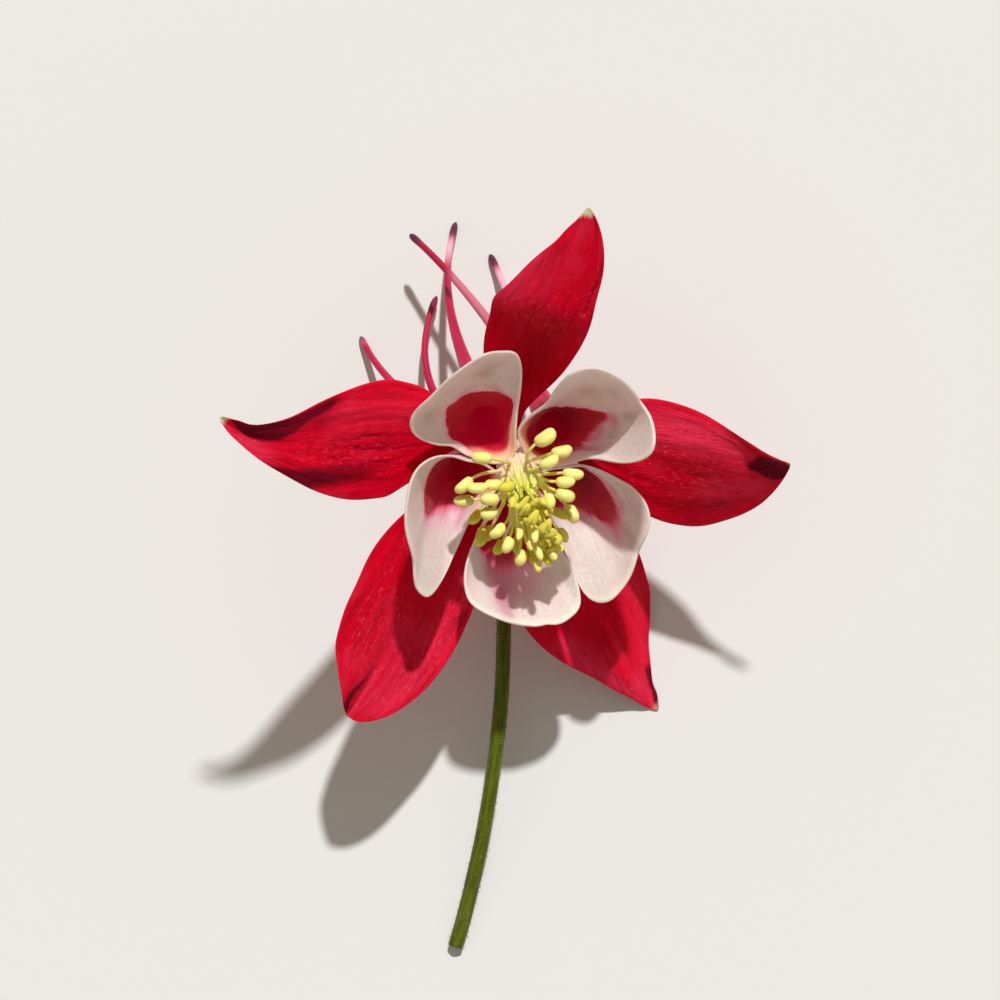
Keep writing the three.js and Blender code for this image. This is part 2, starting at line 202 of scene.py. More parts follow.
def downHairs(points, normals, along, length, width, seed):
    # one thin four-sided needle at each point: three corners round the foot and a tip that
    # stands along the normal and leans along the blade
    rng = np.random.default_rng(seed)
    count = len(points)
    side = unit(np.cross(normals, along))
    spin = rng.uniform(0, 2 * np.pi, (count, 1))
    lean = unit(normals + along * rng.uniform(0.1, 0.9, (count, 1)) + side * rng.normal(0, 0.35, (count, 1)))
    turns = [spin + k * thirdTurn for k in range(3)]
    feet = [points + width * (np.cos(turn) * side + np.sin(turn) * along) for turn in turns]
    tips = points + lean * (length * rng.uniform(0.5, 1.2, (count, 1)))
    corners = np.stack([*feet, tips], axis=1).reshape(-1, 3)
    base = np.arange(count)[:, None] * 4
    faces = np.concatenate([base + [0, 2, 1], base + [0, 1, 3], base + [1, 2, 3], base + [2, 0, 3]])
    return corners, faces


def makeDown(name, tufts, material):
    # one mesh of several lots of hairs, each lot's faces counted on from the lots before it
    starts = np.cumsum([0] + [len(corners) for corners, faces in tufts])
    faces = np.concatenate([faces + start for (corners, faces), start in zip(tufts, starts)])
    makeMesh(name, np.concatenate([corners for corners, faces in tufts]), faces.tolist(), material)


def addNode(tree, kind, inputs=(), **settings):
    # a new node whose inputs are set to values or joined to other nodes' outputs
    node = tree.nodes.new("ShaderNode" + kind)
    for key, value in settings.items():
        setattr(node, key, value)
    for key, value in dict(inputs).items():
        if isinstance(value, bpy.types.NodeSocket):
            tree.links.new(value, node.inputs[key])
        else:
            node.inputs[key].default_value = value
    return node


def startMaterial(name, sockets):
    # a material whose shader has these constants
    material = bpy.data.materials.new(name)
    material.use_nodes = True
    tree = material.node_tree
    shader = tree.nodes["Principled BSDF"]
    for key, value in sockets.items():
        shader.inputs[key].default_value = value
    return material, tree, shader


def mixColour(tree, factor, first, second):
    # the first and second colour mixed by factor
    return addNode(tree, "Mix", {0: factor, 6: first, 7: second}, data_type="RGBA").outputs[2]


def compute(tree, operation, *values):
    # the result of one math operation on numbers or outputs
    return addNode(tree, "Math", dict(enumerate(values)), operation=operation).outputs[0]


def ramp(tree, value, low, high, bottom=0.0, top=1.0):
    # smooth step of value from low to high, giving bottom to top
    inputs = {"Value": value, "From Min": low, "From Max": high, "To Min": bottom, "To Max": top}
    return addNode(tree, "MapRange", inputs, interpolation_type="SMOOTHSTEP").outputs[0]


def layer(tree, name, output="Fac"):
    # one of the piece's own attributes
    return addNode(tree, "Attribute", attribute_name=name).outputs[output]


def paintLayers(tree, paint, tone, *names):
    # each named layer laid over the paint in the tone of the same name
    for name in names:
        paint = mixColour(tree, layer(tree, name), paint, tone[name])
    return paint


def grainNoise(tree, vector, stretch, detail=3.0, roughness=0.55):
    # noise whose cells are 1 / stretch long in each direction of the vector
    scaled = addNode(tree, "VectorMath", {0: vector, 1: stretch}, operation="MULTIPLY")
    inputs = {"Vector": scaled.outputs[0], "Scale": 1.0, "Detail": detail, "Roughness": roughness}
    return addNode(tree, "TexNoise", inputs).outputs[0]


def colour(red, green, blue):
    # linear colour from red, green and blue as a screen shows them, 0 to 255
    def linear(c):
        c = c / 255
        return c / 12.92 if c <= 0.04045 else ((c + 0.055) / 1.055) ** 2.4
    return (linear(red), linear(green), linear(blue), 1.0)


def finishShader(tree, shader, paint, height, strength, depth):
    # paint as the base colour and height as a bump of this depth in millimetres
    tree.links.new(paint, shader.inputs["Base Color"])
    inputs = {"Height": height, "Strength": strength, "Distance": depth * millimetre}
    tree.links.new(addNode(tree, "Bump", inputs).outputs[0], shader.inputs["Normal"])


def addGlow(tree, shader, paint, strength):
    # a faint light of its own, as of light that comes through
    tree.links.new(paint, shader.inputs["Emission Color"])
    shader.inputs["Emission Strength"].default_value = strength


# Velvety crimson: streaks along the veins, rose painted as highlight, painted glints of down,
# painted maroon shade that in places is the tips' own dark colour, and a pale point
sepalFinish = {
    "deep": (190, 0, 26), "base": (216, 0, 38), "roseAndHighlight": (234, 50, 86), "paintedGlint": (238, 84, 116),
    "shadeAndTint": (70, 0, 20), "point": (214, 216, 176), "edge": (206, 40, 70),
}


def sepalMaterial():
    # base tones by streaks and clouds, then rose painted as highlight, wrinkles painted as shade,
    # painted glints of down and the named layers
    sockets = {
        "Roughness": 0.6, "Specular IOR Level": 0.05, "Sheen Weight": 0.02, "Sheen Roughness": 0.3,
        "Sheen Tint": (1.0, 0.25, 0.4, 1.0), "Subsurface Weight": 0.12, "Subsurface Scale": 0.0008,
        "Subsurface Radius": (1.0, 0.08, 0.15),
    }
    material, tree, shader = startMaterial("crimsonVelvet", sockets)
    tone = {key: colour(*value) for key, value in sepalFinish.items()}
    grain = layer(tree, "grain", "Vector")
    streaks = grainNoise(tree, grain, (0.16, 1.6, 1.0), 4.0)
    threads = grainNoise(tree, grain, (0.28, 3.2, 1.0), 3.0, 0.6)
    speckle = grainNoise(tree, grain, (1.1, 2.8, 2.0), 2.0, 0.7)
    cloud = grainNoise(tree, grain, (0.14, 0.3, 0.5), 2.0)
    paint = mixColour(tree, ramp(tree, streaks, 0.3, 0.55), tone["deep"], tone["base"])
    paint = mixColour(tree, ramp(tree, cloud, 0.5, 0.75, 0.0, 0.3), paint, tone["roseAndHighlight"])
    # painted highlight: rose laid in patches on the lit parts, where the rose layer says so
    patchyHighlight = compute(tree, "MULTIPLY", ramp(tree, threads, 0.3, 0.6, 0.35, 1.0), layer(tree, "roseAndHighlight"))
    paint = mixColour(tree, patchyHighlight, paint, tone["roseAndHighlight"])
    # painted shade: fine dark wrinkle lines where the threads cross their middle value
    distance = compute(tree, "ABSOLUTE", compute(tree, "SUBTRACT", threads, 0.5))
    wrinkleShade = compute(tree, "MULTIPLY", ramp(tree, distance, 0.0, 0.035, 0.6, 0.0), layer(tree, "lines"))
    paint = mixColour(tree, wrinkleShade, paint, tone["shadeAndTint"])
    # pale flecks painted as glints of down
    glintFlecks = compute(tree, "MULTIPLY", ramp(tree, speckle, 0.52, 0.74), layer(tree, "paintedGlint"))
    paint = mixColour(tree, glintFlecks, paint, tone["paintedGlint"])
    # the shade layer paints maroon shade, in places the dark tips' own colour
    paint = paintLayers(tree, paint, tone, "edge", "shadeAndTint", "point")
    finishShader(tree, shader, paint, mixColour(tree, 0.35, threads, speckle), 0.45, 0.35)
    return material


# Silky cream blade, crimson throat and spur, dark knob. Beige and maroon are painted as shade,
# mauve is a tint that also paints shade, and the spur's pale band is partly painted highlight
petalFinish = {
    "cream": (213, 204, 200), "beige": (200, 182, 168), "pale": (214, 172, 184), "hot": (214, 76, 112),
    "crimson": (172, 0, 36), "throat": (150, 0, 26), "deep": (52, 0, 10), "rim": (228, 221, 206),
    "spur": (192, 0, 66), "spurDark": (120, 0, 40), "paleHighlightBand": (232, 176, 194), "knob": (62, 32, 56),
    "beigeShade": (156, 132, 106), "mauveAndShade": (184, 108, 130), "glow": (200, 0, 44), "peach": (240, 190, 146),
}
petalGlow = {"strength": 0.3, "throughBlade": 0.45}


def petalMaterial():
    # crimson up to the blush's ragged edge and cream beyond it, then the named layers
    sockets = {
        "Roughness": 0.5, "Specular IOR Level": 0.3, "Sheen Weight": 0.12, "Sheen Roughness": 0.4,
        "Sheen Tint": (1.0, 0.85, 0.85, 1.0), "Subsurface Weight": 0.4, "Subsurface Scale": 0.001,
        "Subsurface Radius": (1.0, 0.5, 0.45),
    }
    material, tree, shader = startMaterial("creamSilk", sockets)
    tone = {key: colour(*value) for key, value in petalFinish.items()}
    grain = layer(tree, "grain", "Vector")
    veins = grainNoise(tree, layer(tree, "veins", "Vector"), (1.4, 1.4, 0.35), 3.0)
    mottle = grainNoise(tree, grain, (2.4, 2.4, 2.4), 3.0, 0.65)
    cloud = grainNoise(tree, grain, (0.35, 0.35, 0.35), 2.0)
    edge = compute(tree, "ADD", layer(tree, "blush"), compute(tree, "SUBTRACT", veins, 0.5))
    crimson = mixColour(tree, ramp(tree, veins, 0.3, 0.7), tone["throat"], tone["crimson"])
    paint = mixColour(tree, ramp(tree, edge, -0.3, 0.3), crimson, tone["hot"])
    paint = mixColour(tree, ramp(tree, edge, 0.1, 1.0), paint, tone["pale"])
    blade = mixColour(tree, ramp(tree, mottle, 0.3, 0.7, 0.35, 1.0), tone["beige"], tone["cream"])
    blade = mixColour(tree, ramp(tree, cloud, 0.45, 0.7, 0.0, 0.35), blade, tone["pale"])
    paint = mixColour(tree, ramp(tree, edge, 0.7, 2.6), paint, blade)
    # pale vein lines, only on the blade and fainter away from the blush
    veinLine = compute(tree, "MULTIPLY", ramp(tree, veins, 0.56, 0.7), ramp(tree, edge, 5.5, 0.8, 0.0, 0.4))
    onBlade = compute(tree, "MULTIPLY", veinLine, ramp(tree, edge, 0.3, 1.0))
    paint = mixColour(tree, onBlade, paint, tone["pale"])
    # painted shade in beige and maroon, mauve tint that also paints shade, a pale rim and peach claw margins
    paint = paintLayers(tree, paint, tone, "beigeShade", "mauveAndShade", "deep", "rim", "peach")
    streaked = mixColour(tree, ramp(tree, veins, 0.35, 0.6), tone["spurDark"], tone["spur"])
    paint = mixColour(tree, layer(tree, "spur"), paint, streaked)
    # the spur's pale band, painted partly as highlight, and the dark knob
    paint = paintLayers(tree, paint, tone, "paleHighlightBand", "knob")
    finishShader(tree, shader, paint, mixColour(tree, 0.5, veins, mottle), 0.3, 0.2)
    # light that comes through the thin blade and, redder, through the wall of the throat
    through = mixColour(tree, petalGlow["throughBlade"], (0.0, 0.0, 0.0, 1.0), paint)
    addGlow(tree, shader, paintLayers(tree, through, tone, "glow"), petalGlow["strength"])
    return material


# Powdery yellow, deeper on the side turned from the light and in the furrows, as painted shade
antherFinish = {
    "bright": (255, 251, 178), "dusty": (248, 236, 96), "shadedSide": (212, 186, 6), "furrow": (204, 184, 36),
    "dry": (220, 206, 24),
}


def antherMaterial():
    # two yellows by fine dust and broad patches, then the named layers
    sockets = {
        "Roughness": 0.62, "Specular IOR Level": 0.3, "Sheen Weight": 0.25, "Sheen Roughness": 0.5,
        "Sheen Tint": (1.0, 1.0, 0.7, 1.0), "Subsurface Weight": 0.25, "Subsurface Scale": 0.0006,
        "Subsurface Radius": (1.0, 0.9, 0.3),
    }
    material, tree, shader = startMaterial("pollenYellow", sockets)
    tone = {key: colour(*value) for key, value in antherFinish.items()}
    grain = layer(tree, "grain", "Vector")
    dust = grainNoise(tree, grain, (4.0, 4.0, 4.0), 4.0, 0.7)
    broad = grainNoise(tree, grain, (0.7, 0.7, 0.7), 2.0)
    paint = mixColour(tree, ramp(tree, dust, 0.35, 0.65), tone["dusty"], tone["bright"])
    paint = mixColour(tree, ramp(tree, broad, 0.55, 0.75, 0.0, 0.5), paint, tone["dusty"])
    # painted shade on the side turned from the light and in the furrows, and the duller tint of dry anthers
    paint = paintLayers(tree, paint, tone, "shadedSide", "dry", "furrow")
    finishShader(tree, shader, paint, dust, 0.45, 0.12)
    return material


softSockets = {
    "Roughness": 0.45, "Specular IOR Level": 0.45, "Subsurface Weight": 0.3, "Subsurface Scale": 0.0006,
    "Subsurface Radius": (0.9, 1.0, 0.4),
}
stemSockets = {"Roughness": 0.55, "Specular IOR Level": 0.2, "Sheen Weight": 0.05, "Sheen Roughness": 0.5}
# the two tones of the streaks and a third tone: a tint near the foot of strands and sleeves
# and on the receptacle
strandFinish = {
    "paleStrand": {"low": (196, 198, 30), "high": (236, 232, 124), "shadeAndTint": (238, 208, 186)},
    "columnCream": {"low": (226, 206, 176), "high": (240, 222, 200), "shadeAndTint": (238, 204, 190)},
    "paperySheath": {"low": (214, 216, 176), "high": (238, 236, 208), "shadeAndTint": (200, 196, 150)},
    "podGreen": {"low": (184, 188, 40), "high": (222, 220, 96), "shadeAndTint": (150, 160, 60)},
    "oliveStalk": {"low": (66, 78, 0), "high": (96, 106, 4), "shadeAndTint": (232, 196, 180)},
}


def strandMaterial(name, sockets, glow=0.0):
    # two tones in lengthwise streaks, in a third tone, a tint of their own, where that layer says so
    material, tree, shader = startMaterial(name, sockets)
    tone = {key: colour(*value) for key, value in strandFinish[name].items()}
    grain = layer(tree, "grain", "Vector")
    streaks = grainNoise(tree, grain, (2.6, 2.6, 0.25), 4.0)
    fine = grainNoise(tree, grain, (5.0, 5.0, 3.0), 3.0, 0.65)
    paint = mixColour(tree, ramp(tree, streaks, 0.32, 0.66), tone["low"], tone["high"])
    paint = mixColour(tree, ramp(tree, fine, 0.6, 0.8, 0.0, 0.35), paint, tone["high"])
    paint = paintLayers(tree, paint, tone, "shadeAndTint")
    finishShader(tree, shader, paint, mixColour(tree, 0.4, streaks, fine), 0.45, 0.15)
    addGlow(tree, shader, paint, glow)
    return material


def downMaterial(name, tone):
    # hairs: one tone, down to 0.55 of itself, with faint variation from place to place
    material, tree, shader = startMaterial(name, {"Roughness": 0.4, "Specular IOR Level": 0.5})
    place = addNode(tree, "TexCoord").outputs["Object"]
    patch = addNode(tree, "TexNoise", {"Vector": place, "Scale": 900.0, "Detail": 1.0}).outputs[0]
    dark = tuple(c * 0.55 for c in tone)
    paint = mixColour(tree, ramp(tree, patch, 0.35, 0.65), colour(*dark), colour(*tone))
    tree.links.new(paint, shader.inputs["Base Color"])
    return material


sepalBuild = {
    "root": 2.9, "claw": 0.95, "pinch": 0.16, "tipWidth": 0.32, "tipRound": (0.985, 0.0155),
    "thickness": 0.36, "rows": 190, "across": 70, "margin": 0.2, "longWrinkle": 0.16, "fineWrinkle": 0.1,
    "hairs": 1500, "hairLength": 0.2, "hairWidth": 0.02,
}
# Lengths in mm and angles in degrees, close to the solid's. u runs from claw to tip and v from
# -1 to 1 across the face. swell: how far the face stands up towards one margin and towards
# both, per mm of half width. crests: u, v, their spreads and height. edges: u, spread and the
# mm added on the -v and the +v side. relief and the strokes of shade, glints and rose run along
# the blade: start u, v, end u, v, width, and height or strength. The shade strokes paint maroon
# shade, the glint strokes glints of down, and the rose strokes rose as highlight on lit parts.
# areas are painted maroon shade too, in places the dark tips' own colour. gutter folds the
# tip: start u, its line at the start and at the tip, and depth. point: where the pale tip
# starts and how strong it is. wrinkle and lines: strength of the soft wrinkles and of the fine
# wrinkle lines painted as shade.
sepals = {
    "top": {
        "azimuth": 87, "length": 38.9, "half": 6.3, "broad": 0.52, "full": 1.15, "skew": 0.23,
        "foot": -3.5, "rise": 10, "curl": -26, "arch": 18, "sweep": -24, "hook": 39, "roll": -2,
        "twist": -16, "cup": 0.06, "swell": (0.0, 0.05),
        "crests": [(0.57, 0.05, 0.13, 0.9, 1.9), (0.42, 0.0, 0.1, 0.5, -0.5)],
        "edges": [(0.56, 0.05, 0.0, 0.6), (0.92, 0.05, 0.0, 0.45), (0.7, 0.08, -0.25, -0.15)],
        "relief": [(0.6, -0.7, 0.86, -0.82, 0.1, -0.3)],
        "shadeAndTint": [(0.2, 0.0, 0.5, 0.0, 0.6, 0.3), (0.66, -0.66, 0.84, -0.86, 0.05, 0.5)],
        "paintedGlint": [(0.5, 0.3, 0.6, 0.3, 0.6, 0.9), (0.56, -0.6, 0.9, -0.85, 0.16, 0.95),
                  (0.6, 0.0, 0.9, 0.0, 0.5, 0.15)],
        "gutter": (0.9, 0.0, -0.1, 0.2), "point": (0.963, 0.95), "wrinkle": 0.6, "lines": 0.15,
        "areas": [],
        "roseAndHighlight": [(0.55, 0.6, 0.95, 0.4, 0.35, 0.3), (0.55, 0.9, 0.8, 0.95, 0.2, 0.7),
                 (0.9, 0.3, 1.02, 0.2, 0.6, 0.35)],
    },
    "right": {
        "azimuth": 8, "length": 37.8, "half": 9.8, "broad": 0.55, "full": 1.4, "skew": -0.11,
        "foot": -4.1, "rise": 7, "curl": 35, "arch": 17, "sweep": 4, "hook": 22, "roll": -5, "twist": 10,
        "cup": 0.15, "swell": (-0.2, -0.36), "crests": [(0.6, 0.05, 0.2, 0.25, 0.5)],
        "edges": [(0.7, 0.06, -0.17, 0.0), (0.84, 0.05, 0.15, 0.0)],
        "relief": [(0.1, 0.02, 0.85, 0.0, 0.1, -0.12), (0.4, -0.8, 0.85, -0.75, 0.1, -0.25)],
        "shadeAndTint": [(0.5, -0.85, 0.78, -0.8, 0.08, 0.35), (0.25, 0.85, 0.5, 0.8, 0.12, 0.3)],
        "paintedGlint": [(0.3, 0.45, 0.8, 0.4, 0.4, 0.9), (0.3, -0.4, 0.8, -0.45, 0.3, 0.6),
                  (0.3, 0.0, 0.75, -0.05, 0.12, 0.4)],
        "gutter": (0.84, -0.05, -0.4, 0.2), "point": (0.985, 0.3), "wrinkle": 0.9, "lines": 0.4,
        "areas": [(0.86, 0.06, [(0.79, -0.14, -0.04), (0.84, -0.2, 0.05), (0.87, -0.38, 0.3),
                                (0.91, -0.66, 0.5), (1.0, -1.3, 0.7)])],
        "roseAndHighlight": [(0.3, 0.42, 0.84, 0.34, 0.36, 1.3), (0.62, -0.5, 0.9, -0.6, 0.25, 0.5),
                 (0.84, 0.85, 0.98, 0.9, 0.1, 0.9)],
    },
    "low_right": {
        "azimuth": -58, "length": 41.4, "half": 9.6, "broad": 0.48, "full": 1.23, "skew": -0.17,
        "foot": -3.3, "rise": 0, "curl": 24, "arch": -3, "sweep": -11, "hook": 21, "roll": -8,
        "twist": -28, "cup": 0, "swell": (0.0, 0.0),
        "crests": [(0.66, 0.15, 0.14, 0.6, 0.7), (0.79, -0.4, 0.13, 0.5, 2.1)],
        "edges": [(0.79, 0.06, -0.35, -0.35), (0.64, 0.04, 0.0, 0.25), (0.96, 0.03, 0.3, 0.5)],
        "relief": [(0.3, 0.0, 0.9, -0.05, 0.1, -0.15), (0.62, 0.5, 0.88, 0.3, 0.08, -0.25)],
        "shadeAndTint": [(0.76, 0.02, 0.88, 0.04, 0.03, 0.3), (0.86, 0.2, 1.0, 0.2, 0.6, 0.2)],
        "paintedGlint": [(0.3, 0.0, 0.95, 0.0, 1.2, 0.15), (0.75, -0.8, 1.0, -0.4, 0.3, 0.5)],
        "gutter": (0.86, 0.2, 0.3, 0.12), "point": (0.975, 0.35), "wrinkle": 0.35, "lines": 0.06,
        "areas": [(0.85, 0.12, [(0.83, 0.45, 0.5), (0.88, 0.5, 1.2), (0.94, 0.5, 1.2),
                                (0.97, 0.15, 1.2), (1.0, -0.1, 1.2)])],
        "roseAndHighlight": [(0.3, 0.6, 0.9, 0.6, 0.25, 0.5), (0.6, -0.8, 0.95, -0.75, 0.2, 0.9),
                 (0.86, 0.0, 1.02, 0.0, 0.5, 0.9)],
    },
    "low_left": {
        "azimuth": -130.5, "length": 39.5, "half": 8.9, "broad": 0.57, "full": 0.86, "skew": -0.03,
        "foot": -3.7, "rise": 6, "curl": 11, "arch": 17, "sweep": 16, "hook": -30, "roll": 0,
        "twist": -8, "cup": 0.07, "swell": (0.0, 0.0), "crests": [(0.7, 0.1, 0.16, 0.7, -2.0)],
        "edges": [(0.58, 0.08, -0.35, 0.0), (0.8, 0.06, 0.35, 0.1), (0.96, 0.03, -0.2, -0.1)],
        "relief": [(0.3, 0.02, 0.8, -0.05, 0.1, -0.15), (0.8, -0.15, 1.05, -0.3, 0.1, -0.6),
                   (0.35, 0.75, 0.8, 0.65, 0.09, 0.35)],
        "shadeAndTint": [(0.82, -0.12, 1.05, -0.3, 0.05, 0.5), (0.5, 0.9, 0.56, 0.8, 0.08, 0.5),
                  (0.72, 0.4, 1.0, 0.35, 0.45, 0.2)],
        "paintedGlint": [(0.55, -0.2, 1.0, -0.2, 0.5, 0.45), (0.3, 0.75, 0.95, 0.6, 0.3, 0.6),
                  (0.35, -0.6, 0.8, -0.6, 0.2, 0.35)],
        "gutter": (0.8, -0.1, -0.3, 0.3), "point": (0.99, 0.2), "wrinkle": 0.7, "lines": 0.2,
        "areas": [(0.85, 0.05, [(0.78, -0.13, -0.1), (0.85, -0.24, -0.18), (0.9, -0.42, -0.3),
                                (0.95, -0.68, -0.42), (1.0, -1.1, -0.45)])],
        "roseAndHighlight": [(0.6, 0.1, 1.0, 0.0, 0.5, 0.35), (0.3, 0.75, 0.95, 0.6, 0.3, 0.5),
                 (0.85, 0.1, 1.0, 0.0, 0.3, 0.3)],
    },
    "left": {
        "azimuth": 160, "length": 44.7, "half": 8.2, "broad": 0.46, "full": 1.4, "skew": 0.01,
        "foot": -4.1, "rise": 5, "curl": -4, "arch": 29.5, "sweep": 7, "hook": -38, "roll": 18,
        "twist": -8, "cup": 0.17, "swell": (0.25, -0.25), "crests": [(0.35, -0.5, 0.14, 0.5, 0.6)],
        "edges": [(0.77, 0.07, -0.35, -0.15), (0.95, 0.04, 0.5, 0.2), (0.36, 0.05, -0.2, 0.3)],
        "relief": [(0.36, 0.44, 0.8, 0.5, 0.14, 0.35), (0.2, 0.28, 0.64, 0.1, 0.03, -0.16),
                   (0.22, 0.02, 0.6, 0.0, 0.03, -0.16), (0.25, 0.48, 0.62, 0.36, 0.03, -0.14),
                   (0.3, -0.3, 0.6, -0.22, 0.05, -0.1)],
        "shadeAndTint": [(0.42, 0.46, 0.64, 0.6, 0.1, 0.5), (0.22, 0.28, 0.62, 0.1, 0.02, 0.6),
                  (0.24, 0.02, 0.58, 0.0, 0.02, 0.6), (0.3, 0.48, 0.58, 0.36, 0.015, 0.5),
                  (0.74, 0.5, 0.95, 0.5, 0.3, 0.15), (0.62, -0.45, 0.76, -0.6, 0.25, 0.4)],
        "paintedGlint": [(0.3, 0.3, 0.75, 0.3, 0.35, 0.4), (0.85, 0.55, 0.97, 0.5, 0.5, 0.8)],
        "gutter": (0.7, 0.0, 0.1, 0.75), "point": (0.974, 0.9), "wrinkle": 0.8, "lines": 0.6,
        "areas": [(0.85, 0.12, [(0.6, -1.0, -0.75), (0.72, -0.95, -0.45), (0.76, -0.97, -0.2),
                                (0.8, -0.97, 0.0), (0.85, -0.97, 0.1), (0.9, -0.96, 0.15),
                                (0.94, -0.95, -0.1), (0.965, -0.95, -0.6), (1.0, -1.0, -1.0)]),
                  (0.85, 0.1, [(0.4, 0.58, 0.6), (0.49, 0.56, 0.66), (0.56, 0.55, 0.72),
                               (0.62, 0.56, 0.84), (0.66, 0.57, 0.95), (0.7, 0.65, 1.3),
                               (0.76, 0.8, 1.3), (0.82, 0.95, 1.3), (0.88, 1.3, 1.5)])],
        "roseAndHighlight": [(0.8, 0.6, 1.0, 0.5, 0.4, 0.9), (0.25, -0.45, 0.62, -0.4, 0.3, 0.4)],
    },
}


def midribLine(shape, u):
    # The direction at u rises by rise + curl u^1.6 + arch sin(pi u) and heads aside by sweep u
    # plus hook ((u - 0.7) / 0.3)^2 past 0.7. Its short steps are summed into places.
    def direction(t):
        rise = np.radians(shape["rise"] + shape["curl"] * t**1.6 + shape["arch"] * np.sin(np.pi * t))
        heading = np.radians(shape["sweep"] * t + shape["hook"] * (np.clip(t - 0.7, 0, 1) / 0.3) ** 2)
        return np.stack([np.cos(rise) * np.cos(heading), np.cos(rise) * np.sin(heading), np.sin(rise)], -1)
    steps = 400
    fine = np.linspace(0, 1, steps + 1)
    walk = direction((fine[1:] + fine[:-1]) / 2) * shape["length"] / steps
    walked = np.vstack([np.zeros(3), np.cumsum(walk, axis=0)]) + [sepalBuild["root"], 0, shape["foot"]]
    place = np.stack([np.interp(u, fine, walked[:, k]) for k in range(3)], -1)
    return place, direction(u)


def bladeHalfWidth(shape, u):
    # half (u / broad)^full ((1 - u) / (1 - broad))^behind, pinched by 1 - exp(-(u / pinch)^2) near
    # the claw, plus the claw's own width and a little width at the tip. The tip is rounded off.
    build, broad, full = sepalBuild, shape["broad"], shape["full"]
    behind = full * (1 - broad) / broad
    swell = (u / broad) ** full * ((1 - u) / (1 - broad)) ** behind
    width = shape["half"] * swell * (1 - bell(u, build["pinch"]))
    width = width + build["claw"] * (1 - u) ** 4 + build["tipWidth"] * u**8
    return width * roundEnd(u, *build["tipRound"])


def edgeShift(shape, u, v):
    # mm added to the half width on the side of v, as a bell curve of u for each edge entry
    total = np.zeros(np.broadcast(u, v).shape)
    for place, spread, left, right in shape["edges"]:
        total = total + np.where(v < 0, left, right) * bell(u - place, spread)
    return total


def sepalHeight(shape, u, v, half, seed):
    # cup half v^2, a waved margin, and long soft wrinkles from two sizes of noise
    build = sepalBuild
    inner = smoothStep(0.05, 0.3, u) * (1 - smoothStep(0.86, 1.0, u))
    margin = build["margin"] * softNoise(u * 9 + 3, np.sign(v) * 0.5 + 5, seed) * np.abs(v) ** 4
    wrinkles = build["longWrinkle"] * softNoise(u * 5, v * 4 + u * 2, seed + 1)
    wrinkles = wrinkles + build["fineWrinkle"] * softNoise(u * 8, v * 15, seed + 2)
    return shape["cup"] * half * v**2 + (margin + wrinkles * shape["wrinkle"]) * inner


def sepalSwell(shape, u, v, half):
    # half (tilt v + bow v^2) between claw and tip, a rounded bump for each crest, the strokes
    # of relief and a V-shaped gutter at the tip
    tilt, bow = shape["swell"]
    total = half * (tilt * v + bow * v**2) * smoothStep(0.08, 0.35, u) * (1 - smoothStep(0.75, 1.0, u))
    for u0, v0, alongSpread, acrossSpread, height in shape["crests"]:
        total = total + height * bell(u - u0, alongSpread) * bell(v - v0, acrossSpread)
    start, lineStart, lineEnd, depth = shape["gutter"]
    line = lineStart + (lineEnd - lineStart) * np.clip((u - start) / (1 - start), 0, 1)
    fold = depth * half * (np.sqrt((v - line) ** 2 + 0.02) - 0.3) * smoothStep(start, 0.97, u)
    return total + fold + strokes(u, v, shape["relief"]) * np.minimum(half / 4, 1)


def sepalLayers(shape, u, v, half, face, seed):
    # strokes, areas and bands of u and v, some along lines that noise makes ragged
    frayed = u + 0.02 * softNoise(u * 30, v * 6, seed + 5)
    ragged = v + 0.04 * softNoise(u * 30, v * 16, seed + 6)
    dark = areas(u + 0.3 * (frayed - u), v + 0.3 * (ragged - v), shape["areas"])
    grain = np.broadcast_arrays(u * shape["length"], half * v, face * 0.8 + seed * 9.7)
    start, strength = shape["point"]
    inner = smoothStep(0.05, 0.25, u) * smoothStep(0.95, 0.7, u) * (1 - 0.6 * v**4) * (face > 0)
    return {
        "grain": np.stack(grain, -1),
        # painted maroon shade from the shade strokes and the areas, in places the tips' own dark colour
        "shadeAndTint": np.clip(np.maximum(strokes(frayed, ragged, shape["shadeAndTint"]), dark), 0, 0.97),
        # rose painted as highlight on lit parts
        "roseAndHighlight": np.clip(strokes(u, ragged, shape["roseAndHighlight"]), 0, 1),
        # pale flecks painted as glints of down
        "paintedGlint": np.clip(strokes(u, v, shape["paintedGlint"]), 0, 1),
        # strength of the fine wrinkle lines painted as shade
        "lines": shape["lines"] * inner,
        "point": strength * smoothStep(start, start + 0.02, u + 0.3 * (frayed - u)),
        "edge": 0.35 * smoothStep(0.95, 1.0, np.abs(v)) * smoothStep(0.1, 0.4, u),
    }


